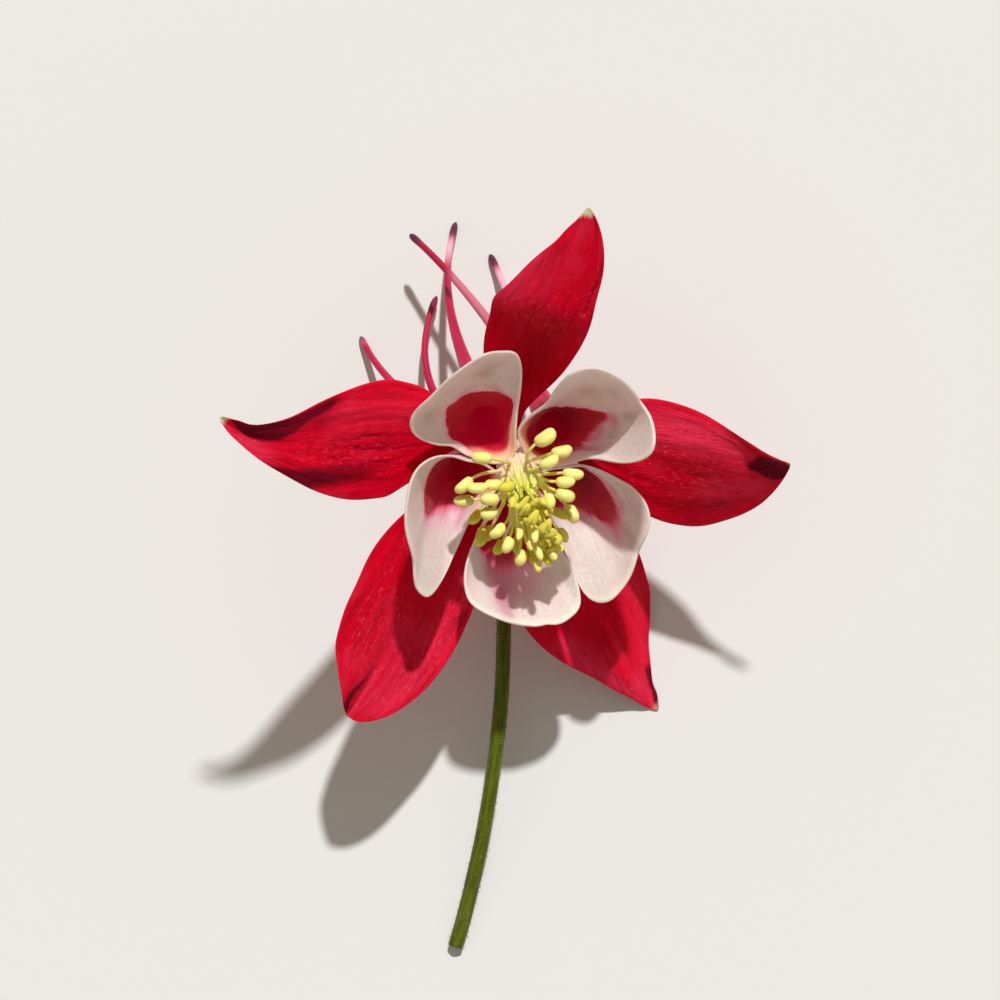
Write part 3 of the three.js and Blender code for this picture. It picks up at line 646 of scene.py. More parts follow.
def sepalSkin(shape, seed):
    # Rows run from claw to tip. Each row goes over the face from the left edge to the right and
    # back underneath. A point is the midrib's place + side half v (1 + skew v) + up height.
    build = sepalBuild
    u = np.minimum((1 - (1 - np.linspace(0, 1, build["rows"])) ** 1.15)[:, None], 0.9999)
    turn = np.linspace(0, np.pi, build["across"])
    faceV = 0.55 * np.cos(turn) + 0.45 * (1 - 2 * turn / np.pi)
    v = np.concatenate([faceV, faceV[-2:0:-1]])[None, :]
    face = np.concatenate([np.ones(len(turn)), -np.ones(len(turn) - 2)])[None, :]
    place, along = midribLine(shape, u[:, 0])
    side = unit(np.cross([0, 0, 1.0], along))
    up = np.cross(along, side)
    roll = np.radians(shape["roll"] + shape["twist"] * u)
    rolledSide = side * np.cos(roll) + up * np.sin(roll)
    rolledUp = up * np.cos(roll) - side * np.sin(roll)
    half = bladeHalfWidth(shape, u)
    thickness = build["thickness"] / 2 * np.sqrt(np.clip(1 - np.abs(v) ** 10, 0, 1)) * (1 - 0.4 * u)
    height = sepalHeight(shape, u, v, half, seed) + face * thickness
    outwards = (half * (1 + shape["skew"] * v) + edgeShift(shape, u, v)) * v
    points = place[:, None] + rolledSide[:, None] * outwards[..., None]
    points = points + rolledUp[:, None] * height[..., None]
    points = points + sepalSwell(shape, u, v, half)[..., None] * towardsViewer(shape)
    points = toFloorFrame(points, shape["azimuth"])
    points[..., 2] = np.maximum(points[..., 2], build["thickness"] * (face > 0))
    return {"points": points, "layers": sepalLayers(shape, u, v, half, face, seed)}


def sepalDown(skin, seed):
    # hairs at random places on the face, more of them towards the tip
    build, grid = sepalBuild, skin["points"]
    rng = np.random.default_rng(seed + 50)
    rows = np.sqrt(rng.uniform(0.05, 0.97, build["hairs"])) * (len(grid) - 3)
    columns = rng.uniform(1, build["across"] - 2, build["hairs"])
    i, j = rows.astype(int), columns.astype(int)
    down, over = grid[i + 1, j] - grid[i, j], grid[i, j + 1] - grid[i, j]
    feet = grid[i, j] + down * (rows - i)[:, None] + over * (columns - j)[:, None]
    normals = -unit(np.cross(over, down))
    return downHairs(feet, normals, unit(down), build["hairLength"], build["hairWidth"], seed)


petalBuild = {
    "clawRadius": 3.25, "throatRadius": 6.6, "throatHeight": -2.0, "bore": 2.25, "oval": 1.1,
    "neck": 0.39, "knobSize": 0.06, "taper": 3.9, "spurWall": 2.57, "thickness": 0.3,
    "funnelEnd": 0.5, "around": 120, "clawRise": 1.7, "belly": 2.8, "wave": 0.2, "rib": 0.045,
    "throatOffset": 0.32, "rimOffset": 0.14,
}
# Cup and spur as in the solid. Angles run from -180 at the claw over 0 at the lip, and w from
# the throat to the rim. blush: angle, w and softness, where the throat's crimson ends.
# creases: sharp valleys along lines of (w, angle), with their width and depth. moves push the
# rim out and lifts raise it towards the viewer: angle, spread and mm. The beige, mauve and deep
# spots are soft spots of beige, mauve and maroon: angle, w, their spreads and strength. The beige
# spots paint shade on the blade, the mauve spots a mauve tint that also paints the stamens'
# shadow and the shade of folds, and the deep spots paint maroon shade in the throat. The pale
# band and the knob are places along the spur with their strength; the pale band is painted partly
# as highlight. peach: tint of the claw's margins. glow: how much light comes through the throat.
petals = {
    "up_left": {
        "azimuth": 126, "reach": 19.3, "half": 8.2, "lift": 5.7, "egg": 0.78, "flare": 0.36,
        "lean": -0.16, "fold": 0, "claw": 0.6, "rake": 1.1, "flat": 1.3, "tip": (12.9, -6.2, -45.7),
        "bend": (0.5, 5.8, 0.9),
        "blush": [(-178, 0.66, 0.05), (-156, 0.62, 0.05), (-140, 0.72, 0.05), (-120, 0.74, 0.05),
                  (-90, 0.42, 0.04), (-56, 0.27, 0.03), (-26, 0.25, 0.03), (0, 0.32, 0.03),
                  (20, 0.38, 0.03), (32, 0.45, 0.03), (54, 0.39, 0.03), (82, 0.43, 0.04),
                  (118, 0.7, 0.05), (150, 0.88, 0.06)],
        "creases": [([(0.4, -30), (0.75, -38), (1.0, -45)], 0.16, 0.5), ([(0.4, 40),
                                                                          (1.0, 46)], 0.14, 0.4)],
        "moves": [(-164, 14, 0.1), (-85, 35, -0.25), (-40, 12, -0.1), (-22, 12, 0.25), (24, 16, -0.5),
                  (65, 25, 0.08), (122, 9, -0.3), (139, 10, 0.35), (160, 12, 0.4), (180, 22, 0.9)],
        "lifts": [], "paleHighlightBand": (0.79, 0.93, 0.9), "knob": (0.955, 0.85),
        "beigeShade": [(-30, 0.6, 16, 0.1, 0.5), (-38, 0.76, 16, 0.08, 0.3), (52, 0.7, 16, 0.15, 0.35)],
        "mauveAndShade": [(0, 0.4, 25, 0.06, 0.3), (-60, 0.36, 20, 0.06, 0.35), (178, 0.86, 30, 0.1, 0.3)],
        "deep": [], "peach": 0.85, "glow": 0.9,
    },
    "up_right": {
        "azimuth": 41, "reach": 20.6, "half": 7.8, "lift": 9.6, "egg": 0.85, "flare": 0.33, "lean": 0.14,
        "fold": 3, "claw": 0, "rake": 0.9, "flat": 1.3, "tip": (2.7, 18.2, -39.2),
        "bend": (2.2, 0.9, -0.9),
        "blush": [(-176, 0.9, 0.05), (-124, 0.6, 0.12), (-92, 0.31, 0.1), (-62, 0.25, 0.1),
                  (-38, 0.33, 0.1), (-25, 0.43, 0.08), (-18, 0.43, 0.06), (-10, 0.3, 0.05),
                  (10, 0.14, 0.05), (46, 0.08, 0.04), (80, 0.2, 0.05), (104, 0.48, 0.05),
                  (118, 0.86, 0.04), (150, 0.9, 0.04)],
        "creases": [([(0.45, -100), (0.44, -70), (0.52, -46), (0.65, -30), (0.86, -15),
                      (1.0, -9)], 0.2, 1.9)],
        "moves": [(-160, 10, 0.5), (-143, 10, 0.3), (-118, 14, -0.6), (-45, 25, -0.5), (-8, 14, -0.3),
                  (50, 25, 0.4), (73, 10, 0.2), (112, 14, -0.4), (146, 20, 2.1), (180, 20, 0.9)],
        "lifts": [(-75, 42, 4.2), (10, 45, -1.6)], "paleHighlightBand": (0.35, 0.75, 0.3), "knob": (0.95, 0.85),
        "beigeShade": [(30, 0.5, 25, 0.14, 0.4), (10, 0.72, 12, 0.1, 0.25), (-24, 0.72, 7, 0.12, 0.45),
                 (-52, 0.5, 16, 0.07, 0.35)],
        "mauveAndShade": [(-30, 0.52, 12, 0.07, 0.7), (-62, 0.37, 24, 0.06, 0.8), (-104, 0.52, 20, 0.1, 0.7),
                 (178, 0.9, 25, 0.1, 0.3), (60, 0.25, 30, 0.1, 0.3)],
        "deep": [(100, 0.4, 50, 0.4, 0.75), (20, 0.05, 90, 0.12, 0.5)], "peach": 0.8, "glow": 0.35,
    },
    "right": {
        "azimuth": -26.5, "reach": 19.3, "half": 7.5, "lift": 8, "egg": 0.7, "flare": 0.36, "lean": -0.3,
        "fold": 2.4, "claw": 0.1, "rake": 1.05, "flat": 1.3, "tip": (-3.3, 10.6, -41.5),
        "bend": (1.4, 1.4, 0),
        "blush": [(-160, 0.8, 0.1), (-90, 0.24, 0.08), (-60, 0.16, 0.1), (-32, 0.21, 0.08),
                  (-14, 0.32, 0.07), (-2, 0.45, 0.07), (8, 0.56, 0.14), (18, 0.6, 0.16),
                  (28, 0.58, 0.1), (38, 0.5, 0.09), (50, 0.41, 0.08), (68, 0.38, 0.06),
                  (88, 0.36, 0.06), (104, 0.5, 0.06), (130, 0.8, 0.06), (150, 0.93, 0.05)],
        "creases": [([(0.12, -62), (0.23, -32), (0.34, -15), (0.46, -4), (0.6, 5), (0.76, 11),
                      (1.0, 17)], 0.2, 1.6)],
        "moves": [(-158, 12, 0.6), (-94, 10, -0.1), (-75, 20, 0.16), (20, 18, -0.65), (55, 12, 0.1),
                  (98, 14, -0.3), (140, 18, 0.35), (160, 12, 0.4), (180, 20, 0.6)],
        "lifts": [(-40, 30, 0.8), (80, 38, -1.3)], "paleHighlightBand": (0.62, 0.92, 0.9), "knob": (0.955, 0.9),
        "beigeShade": [(45, 0.8, 20, 0.12, 0.2), (75, 0.75, 20, 0.12, 0.2), (20, 0.82, 7, 0.16, 0.6)],
        "mauveAndShade": [(86, 0.46, 16, 0.06, 0.6), (56, 0.52, 14, 0.06, 0.6), (38, 0.62, 10, 0.06, 0.6),
                 (8, 0.66, 9, 0.1, 0.5), (-34, 0.3, 18, 0.07, 0.5), (-60, 0.26, 16, 0.08, 0.5)],
        "deep": [(100, 0.25, 40, 0.22, 0.8), (30, 0.12, 40, 0.16, 0.6)], "peach": 0.5, "glow": 0.3,
    },
    "bottom": {
        "azimuth": -94, "reach": 18.8, "half": 7.3, "lift": 10.4, "egg": 0.71, "flare": 0.39,
        "lean": 0.17, "fold": 0.5, "claw": 0.5, "rake": 0.85, "flat": 1.4, "tip": (-5.6, -6.3, -38.9),
        "bend": (6.8, -9.3, 1.7),
        "blush": [(-160, 0.9, 0.1), (-100, 0.7, 0.05), (-80, 0.55, 0.05), (-56, 0.46, 0.06),
                  (-40, 0.5, 0.1), (-28, 0.5, 0.16), (0, 0.38, 0.18), (24, 0.36, 0.15), (66, 0.4, 0.08),
                  (90, 0.4, 0.08), (160, 0.8, 0.08)],
        "creases": [([(0.3, -60), (0.6, -30), (1.0, -12)], 0.15, 0.5)],
        "moves": [(-158, 12, 0.6), (-58, 10, 0.15), (-28, 20, -0.22), (24, 7, 0.1), (12, 5, -0.25),
                  (40, 10, -0.12), (70, 12, -0.12), (158, 12, 0.6), (180, 20, 0.6)],
        "lifts": [(0, 80, 1.0)], "paleHighlightBand": (0.3, 0.6, 0.0), "knob": (0.97, 0.5), "beigeShade": [],
        "mauveAndShade": [(-38, 0.56, 12, 0.14, 0.8), (-24, 0.76, 9, 0.16, 0.75), (-17, 0.93, 6, 0.12, 0.4),
                 (-12, 0.62, 14, 0.2, 0.6), (8, 0.62, 14, 0.2, 0.4)],
        "deep": [], "peach": 0.3, "glow": 0.3,
    },
    "left": {
        "azimuth": -167.5, "reach": 16.9, "half": 8.4, "lift": 11.5, "egg": 0.61, "flare": 0.29,
        "lean": 0.36, "fold": -0.4, "claw": 0.5, "rake": 0.9, "flat": 1.4, "tip": (16.1, -3.1, -39.8),
        "bend": (1.2, 3.1, 1.5),
        "blush": [(-160, 0.9, 0.06), (-120, 0.75, 0.05), (-86, 0.58, 0.04), (-64, 0.52, 0.04),
                  (-46, 0.5, 0.04), (-26, 0.49, 0.04), (-8, 0.54, 0.04), (0, 0.52, 0.05),
                  (10, 0.44, 0.08), (20, 0.35, 0.12), (28, 0.29, 0.14), (60, 0.24, 0.14),
                  (72, 0.24, 0.14), (90, 0.28, 0.16), (138, 0.58, 0.14), (160, 0.7, 0.1)],
        "creases": [([(0.2, 70), (0.34, 28), (0.54, 4), (1.0, 0)], 0.18, 0.9)],
        "moves": [(-158, 12, 0.5), (-85, 30, 0.13), (-50, 12, -0.1), (-6, 16, -0.6), (22, 10, 0.1),
                  (65, 20, -0.2), (158, 12, 0.6), (180, 20, 0.6)],
        "lifts": [(40, 30, 0.6)], "paleHighlightBand": (0.93, 0.982, 0.9), "knob": (0.985, 0.6),
        "beigeShade": [(-20, 0.72, 8, 0.2, 0.2)],
        "mauveAndShade": [(50, 0.36, 20, 0.07, 0.3), (100, 0.56, 24, 0.12, 0.5)],
        "deep": [(-100, 0.35, 45, 0.35, 0.75)], "peach": 0.7, "glow": 0.35,
    },
}


def degreesAway(a, place):
    # from -180 to 180, the angle a as seen from the place in degrees
    return (np.degrees(a) - place + 180) % 360 - 180


def bells(a, entries):
    # the sum of a bell curve of the angle for each entry
    total = np.zeros(np.shape(a))
    for place, spread, size in entries:
        total = total + size * bell(degreesAway(a, place), spread)
    return total


def spots(a, w, entries):
    # the sum of a bell curve of angle and w for each entry, at most 1
    total = np.zeros(np.broadcast(a, w).shape)
    for angle, place, angleSpread, spread, strength in entries:
        total = total + strength * bell(degreesAway(a, angle), angleSpread) * bell(w - place, spread)
    return np.clip(total, 0, 1)


def rimLine(shape, a):
    # The rim at angle a, with out = (1 + cos a) / 2 from claw to lip: out^egg outwards, half
    # sin a (1 + flare cos a) + lean out^1.5 aside, and up from claw to lift by out^rake, with
    # the claw drawn up against the stamens. Moves push it out across its own direction.
    span = shape["reach"] - petalBuild["clawRadius"]

    def flat(angle):
        out = (1 + np.cos(angle)) / 2
        x = petalBuild["clawRadius"] + span * np.maximum(out, 1e-9) ** shape["egg"]
        aside = shape["half"] * np.sin(angle) * (1 + shape["flare"] * np.cos(angle))
        return x, aside + shape["lean"] * out**1.5 * span
    x, y = flat(a)
    dx, dy = (after - before for after, before in zip(flat(a + 0.02), flat(a - 0.02)))
    push = bells(a, shape["moves"]) / np.maximum(np.hypot(dx, dy), 1e-9)
    out = (1 + np.cos(a)) / 2
    z = shape["claw"] + (shape["lift"] - shape["claw"]) * out ** shape["rake"]
    z = z + petalBuild["clawRise"] * smoothStep(0.2, 0.0, out)
    return x + dy * push, y - dx * push, z + shape["fold"] * np.abs(np.sin(a)) ** 1.5 * out


def cupSurface(shape, a, w, seed):
    # From the oval throat at w = 0 to the rim at w = 1, bellied by belly w (1 - w), with fine
    # lengthwise ribs and a softly waved margin
    build = petalBuild
    out = (1 + np.cos(a)) / 2
    x, y, z = rimLine(shape, a)
    belly = build["belly"] * w * (1 - w) * (0.25 + 0.75 * out)
    wave = build["wave"] * softNoise(np.cos(a) * 3 + 9, np.sin(a) * 3 + 9, seed) * smoothStep(0.5, 1, w) * out
    ribs = build["rib"] * softNoise(a * 9 + 40, w * 2, seed + 1) * smoothStep(0.05, 0.5, w) * (1 - w**6)
    xThroat = build["throatRadius"] + build["bore"] * build["oval"] * np.cos(a)
    openX, openY = w**0.95, w ** shape["flat"]
    lifted = (bells(a, shape["lifts"]) * w**2)[..., None] * towardsViewer(shape)
    return lifted + np.stack([
        xThroat * (1 - openX) + x * openX + belly * 0.5 * np.cos(a),
        build["bore"] * np.sin(a) * (1 - openY) + y * openY + belly * 0.5 * np.sin(a),
        build["throatHeight"] * (1 - w) + z * w - belly * 0.8 + wave + ribs,
    ], -1)


def segmentDistance(x, y, start, end):
    # from each place to the nearest point of a straight piece
    along = end - start
    t = np.clip(((x - start[0]) * along[0] + (y - start[1]) * along[1]) / (along @ along), 0, 1)
    return np.hypot(x - start[0] - along[0] * t, y - start[1] - along[1] * t)


def creaseDepth(shape, a, w):
    # a sharp valley, depth exp(-distance / width), the distance taken on the plane of w cos a
    # and w sin a and rounded off near zero
    total = np.zeros(np.broadcast(a, w).shape)
    for corners, width, depth in shape["creases"]:
        radius, angle = np.array(corners, float).T
        line = np.stack([radius * np.cos(np.radians(angle)), radius * np.sin(np.radians(angle))], -1)
        gaps = [segmentDistance(w * np.cos(a), w * np.sin(a), *ends) for ends in zip(line, line[1:])]
        total = total + depth * np.exp(-np.sqrt(np.min(gaps, axis=0) ** 2 + 0.0005) / width)
    return total


def cupWall(shape, a, w, offset, seed):
    # the cup's surface set off along its normal, outwards if positive, and sunk at its creases
    tiny = 2e-3
    a, w = np.broadcast_arrays(a, w)
    low = np.maximum(w, 2 * tiny)
    around = cupSurface(shape, a + tiny, low, seed) - cupSurface(shape, a - tiny, low, seed)
    outwards = cupSurface(shape, a, low, seed) - cupSurface(shape, a, low - tiny, seed)
    normal = unit(np.cross(around, outwards))
    sunk = creaseDepth(shape, a, w) * smoothStep(0, 0.3, w)
    return cupSurface(shape, a, w, seed) + normal * offset[..., None] - towardsViewer(shape) * sunk[..., None]


def wallOffset(w):
    # how far the outer face stands off the cup's surface, less above the throat
    throat, rim = petalBuild["throatOffset"], petalBuild["rimOffset"]
    return throat - (throat - rim) * smoothStep(0, 0.5, w)


def spurRings(shape, a, s, inset):
    # circles round a curve from throat to tip. The outer radius is neck + (wall - neck)
    # exp(-taper s), with a knob and a round cap at the tip.
    build = petalBuild
    start, tip = np.array([build["throatRadius"], 0, build["throatHeight"]]), np.array(shape["tip"])
    reach = np.linalg.norm(tip - start) * 0.4
    leave = start + np.array([-0.03 * reach, 0, -reach])
    arrive = start + (tip - start) * 0.67 + np.array(shape["bend"])
    centre, along = bezier([start, leave, arrive, tip], s)
    across = unit(np.array([0, 1.0, 0]) - along * along[:, 1:2])
    outwards = np.cross(across, along)
    radius = build["neck"] + (build["spurWall"] - build["neck"]) * np.exp(-build["taper"] * s)
    radius = radius + build["knobSize"] * bell(s - 0.965, 0.025)
    radius = radius * roundEnd(s, 0.975, 0.025) - inset
    oval = 1 + (build["oval"] - 1) * np.exp(-12 * s)
    return (centre[:, None] - outwards[:, None] * (radius * oval)[:, None, None] * np.cos(a)[..., None]
            + across[:, None] * radius[:, None, None] * np.sin(a)[..., None])


def petalLayers(shape, a, w, s, inside, seed):
    # spots on the cup's inner face and bands along the spur's outer face
    claw, outside = (1 - np.cos(a)) / 2, np.where(inside, 0.0, 1.0)
    angle, place, softness = np.array(shape["blush"]).T
    edge = np.interp(np.degrees(a), angle, place, period=360)
    edge = edge + 0.01 * softNoise(a * 12 + 40, w * 3, seed + 3)
    soft = np.interp(np.degrees(a), angle, softness, period=360)
    blush = np.where(inside, (w - edge) / soft, (w - 0.62) / 0.16)
    # painted maroon shade in the throat spots and down the funnel
    throat = spots(a, w, shape["deep"]) * smoothStep(0.4, -0.4, blush) + smoothStep(0.1, 0.6, s)
    veins = np.broadcast_arrays(np.cos(a) * 9, np.sin(a) * 9, w * 5 + s * 14 + inside * 60.0 + seed * 7)
    paleFrom, paleTo, paleStrength = shape["paleHighlightBand"]
    band = smoothStep(paleFrom, paleFrom + 0.1, s) * smoothStep(paleTo + 0.03, paleTo - 0.03, s)
    knobFrom, knobStrength = shape["knob"]
    glow = smoothStep(0.6, -0.6, blush) * (0.25 + 0.75 * claw) * smoothStep(0.9, 0.2, s)
    return {
        "veins": np.stack(veins, -1),
        "glow": shape["glow"] * inside * glow,
        "blush": np.clip(blush, -4, 8),
        "deep": inside * np.clip(throat, 0, 0.85),
        # beige painted as shade
        "beigeShade": inside * spots(a, w, shape["beigeShade"]),
        # mauve tint that also paints the stamens' shadow and the shade of folds
        "mauveAndShade": inside * spots(a, w, shape["mauveAndShade"]),
        "rim": 0.7 * smoothStep(0.93, 1.0, w) * inside * smoothStep(0.85, 0.6, claw),
        "peach": shape["peach"] * inside * smoothStep(0.8, 0.96, claw) * smoothStep(0.5, 0.8, w),
        "spur": outside * smoothStep(0.35, 0.0, w),
        # pale band along the spur, painted partly as highlight, weaker on one side
        "paleHighlightBand": outside * paleStrength * band * smoothStep(-2.5, -0.3, np.sin(a)),
        "knob": outside * knobStrength * smoothStep(knobFrom - 0.03, knobFrom, s),
    }


def petalSkin(shape, seed):
    # One closed skin: up the outside of the spur, up the cup, over the rim, down the inside
    # and into the funnel
    build = petalBuild
    a = np.linspace(-np.pi, np.pi, build["around"], endpoint=False)[None, :]
    outerSpur = 0.9985 - 0.9985 * np.linspace(0, 1, 74) ** 1.1
    outerWall, innerWall = np.linspace(0.03, 1, 40)[:, None], np.linspace(1, 0.02, 54)[:, None]
    rim, funnel = np.ones((1, 1)), np.linspace(0.006, build["funnelEnd"], 30)
    rimRound = cupWall(shape, a, rim, 0 * rim, seed)
    rimRound = rimRound + unit(rimRound - cupSurface(shape, a, 0.99 * rim, seed)) * 0.1
    points = np.concatenate([
        spurRings(shape, a, outerSpur, 0.0),
        cupWall(shape, a, outerWall, wallOffset(outerWall), seed),
        rimRound,
        cupWall(shape, a, innerWall, wallOffset(innerWall) - build["thickness"], seed),
        spurRings(shape, a, funnel, build["thickness"]),
    ])
    walls = np.concatenate([outerWall, rim, innerWall])
    s = np.concatenate([outerSpur, np.zeros(len(walls)), funnel])[:, None]
    w = np.concatenate([np.zeros((len(outerSpur), 1)), walls, np.zeros((len(funnel), 1))])
    inside = (np.arange(len(points)) > len(outerSpur) + len(outerWall))[:, None]
    layers = petalLayers(shape, a, w, s, inside, seed)
    layers["grain"] = points + seed * 3.7
    return {"points": toFloorFrame(points, shape["azimuth"]), "layers": layers}


def ringAngles(sides):
    # the angles of a ring's corners
    return np.linspace(0, 2 * np.pi, sides, endpoint=False)


def tubeSkin(centre, along, reference, radius, sides, extra=1.0):
    # circles of the given radii about a path, started from a reference direction at each place
    along, reference = (np.broadcast_to(direction, centre.shape) for direction in (along, reference))
    turn = ringAngles(sides)
    first = unit(reference - along * (along * reference).sum(-1, keepdims=True))
    second = np.cross(along, first)
    ring = first[:, None] * np.cos(turn)[None, :, None] + second[:, None] * np.sin(turn)[None, :, None]
    radius = np.broadcast_to(radius[:, None] * extra, ring.shape[:2])
    return centre[:, None] + ring * radius[..., None]


def tubeLayers(sides, run, shadeAndTint, seed):
    # grain that runs round the tube and along it
    turn = ringAngles(sides)
    grain = np.broadcast_arrays(np.cos(turn), np.sin(turn), run[:, None] + seed * 3.1)
    return {"grain": np.stack(grain, -1), "shadeAndTint": shadeAndTint}


stamenBuild = {
    "spare": 64, "fullLength": 3.07, "tilt": 0.8, "shortest": (2.5, 2.5, 2.0), "middle": (-0.03, -0.15, 0.0),
    "foot": -0.6, "footRadius": 0.34, "rootRadius": 0.3, "topRadius": 0.19, "footRows": 6, "rows": 26,
    "sides": 8, "antherRows": 22, "antherSides": 26, "dryTint": (0.0, 0.8, 0.7),
    # the last entry points to the side of each anther that faces the light; that side is painted pale and the
    # other deeper yellow, as painted shade
    "litSide": (-0.14, 0.6, 0.79),
}
# Each anther as it is seen face on: its middle to the right of the bloom's heart, above it and
# towards the viewer, from a middle set in stamenBuild, which way it points in degrees
# anticlockwise from the right, its length as seen, its width, and its state: 0 fresh, 1 dull,
# 2 open, shrunken and crumpled.
anthers = [
    (3.8, 3.6, 9.3, 35, 3.2, 1.9, 0), (6.0, 1.8, 9.0, 12, 2.9, 1.7, 0), (4.3, 0.4, 9.8, 28, 2.9, 1.7, 0),
    (-4.5, 0.9, 9.3, 175, 2.9, 1.7, 0), (7.5, -1.2, 8.8, -5, 2.9, 1.7, 0),
    (6.5, -2.2, 9.6, 0, 2.7, 1.5, 0), (6.5, -4.0, 9.2, -25, 2.7, 1.9, 0),
    (7.3, -6.5, 5.5, -60, 2.8, 1.7, 0), (5.7, -6.4, 5.9, -25, 2.9, 1.2, 1),
    (4.3, -4.9, 8.7, -70, 2.1, 1.5, 0), (-6.9, -2.7, 8.0, 220, 2.9, 1.7, 0),
    (-5.1, -3.0, 8.9, 183, 2.9, 1.5, 0), (-3.0, -2.6, 7.9, 180, 2.5, 1.5, 0),
    (-1.3, -2.9, 9.1, 200, 2.0, 1.6, 1), (-6.9, -4.7, 6.6, 185, 2.8, 1.6, 0),
    (-3.5, -4.5, 8.5, 180, 2.7, 1.8, 0), (-3.6, -6.4, 7.4, 200, 2.5, 1.7, 0),
    (-5.5, -6.9, 4.6, 230, 2.3, 1.5, 1), (-4.7, -9.5, 2.4, 255, 2.9, 1.7, 1),
    (-3.8, -9.1, 2.0, 240, 2.4, 1.6, 1), (-2.5, -8.7, 5.4, 222, 2.7, 1.7, 0),
    (-2.3, -10.9, 1.4, 240, 2.3, 1.5, 1), (-1.2, -10.6, 5.6, 250, 2.4, 1.6, 0),
    (0.0, -10.6, 2.8, 268, 2.3, 1.3, 1), (0.3, -9.1, 7.7, 270, 1.7, 0.9, 0),
    (0.5, -12.3, 5.3, 268, 2.3, 1.7, 0), (1.7, -10.6, 7.1, -60, 1.6, 1.0, 0),
    (2.9, -11.8, 6.5, -60, 1.9, 1.1, 0), (2.1, -12.2, 4.9, -70, 2.0, 1.3, 1),
    (2.7, -13.4, 5.3, -65, 1.7, 1.3, 0), (4.0, -12.5, 3.3, -50, 2.1, 1.3, 1),
    (4.7, -11.9, 4.3, -48, 2.0, 1.2, 0), (5.5, -10.9, 3.6, -20, 1.9, 1.4, 0),
    (6.2, -9.4, 2.4, -55, 2.1, 1.3, 0), (2.3, -9.4, 8.1, -80, 2.1, 1.1, 0),
    (3.8, -7.8, 7.7, 40, 1.9, 1.1, 2), (3.5, -9.5, 5.8, -100, 2.0, 1.2, 2),
    (4.5, -8.7, 6.7, -20, 2.0, 1.2, 2), (5.2, -9.7, 5.5, -60, 2.0, 1.1, 2),
    (4.2, -10.5, 4.8, -40, 2.0, 1.2, 2), (3.2, -10.6, 4.3, -80, 1.7, 1.1, 2),
    (-0.3, -4.9, 8.3, 250, 1.7, 1.1, 2), (0.8, -4.4, 8.8, 15, 2.0, 0.9, 2),
    (1.0, -5.7, 9.0, 30, 1.9, 0.9, 2), (2.9, -5.3, 8.9, 5, 2.1, 1.1, 2),
    (2.1, -6.4, 8.9, 25, 1.9, 1.1, 2), (1.0, -7.0, 7.5, 250, 1.9, 0.9, 2),
    (3.2, -6.5, 8.3, -10, 1.7, 1.1, 2),
]


def scatter(k, stride):
    # numbers from -1 to 1 that spread evenly as k counts up
    return (k * stride) % 1 * 2 - 1


def antherPlace(k):
    # Heads as it is seen to, and leans towards the viewer by tilt sqrt(1 - shown^2), where
    # shown is the length seen over the full length
    right, up, rise, heading, seen, width, state = anthers[k]
    turn, shown = math.radians(heading), min(seen / stamenBuild["fullLength"], 1)
    tilt = stamenBuild["tilt"] * math.sqrt(1 - shown**2)
    pointing = faceMatrix @ unit(np.array([shown * math.cos(turn), shown * math.sin(turn), tilt]))
    length = max(seen, stamenBuild["shortest"][state])
    place = np.array([right, up, rise]) + stamenBuild["middle"]
    return faceMatrix @ place, pointing, length, width, state


def strandEnd(k):
    # Where a strand ends, which way it points there, the azimuth of its root and how far that
    # is set off. Strands past the last anther are spare ones that stay inside the bundle.
    if k < len(anthers):
        middle, pointing, length = antherPlace(k)[:3]
        end = middle - pointing * (length * 0.42)
        return end, pointing, math.atan2(end[1], end[0]) + 0.3 * scatter(k, 0.7549), 0.0
    turn, spread = k * goldenAngle, 1.2 + 0.6 * scatter(k, 0.3247)
    end = np.array([spread * math.cos(turn), spread * math.sin(turn) - 0.6, 7.4 + 1.2 * scatter(k, 0.5698)])
    return end, np.array([0.0, -0.3, 1.0]), turn, 0.35 * scatter(k, 0.839)


def filamentSkin(k):
    # a strand up the column's side, then along a curve that ends at the foot of its anther
    build = stamenBuild
    end, pointing, azimuth, setOff = strandEnd(k)
    reach, height = math.hypot(end[0], end[1]), end[2]
    out = min(reach / 8, 1)
    ring = np.array([math.cos(azimuth), math.sin(azimuth), 0.0])
    root = ring * (1.95 + 0.4 * out + setOff) + [0, 0, 4.6 - 3.2 * out]
    leave = root + [0, 0, 0.42 * (height - root[2])] + ring * 0.3
    arrive = end - pointing * (1.2 + 0.25 * reach) + [0, 0, 0.1 * reach]
    place = bezier([root, leave, arrive, end], np.linspace(0, 1, build["rows"]))[0]
    foot = ring * (root[:2] @ ring[:2]) + [0, 0, build["foot"]]
    rise = np.linspace(0, 1, build["footRows"], endpoint=False)[:, None]
    place = np.vstack([foot + (root - foot) * rise, place])
    along = unit(np.gradient(place, axis=0))
    shaft = np.linspace(build["rootRadius"], build["topRadius"], build["rows"])
    radius = np.concatenate([np.full(build["footRows"], build["footRadius"]), shaft])
    points = tubeSkin(place, along, np.array([-ring[1], ring[0], 0.02]), radius, build["sides"])
    # a cream-pink tint near the foot of each strand
    shadeAndTint = 0.85 * smoothStep(8.0, 3.0, place[:, 2:])
    layers = tubeLayers(build["sides"], lengthAlong(place), shadeAndTint, k)
    return {"points": toFloorFrame(points), "layers": layers}


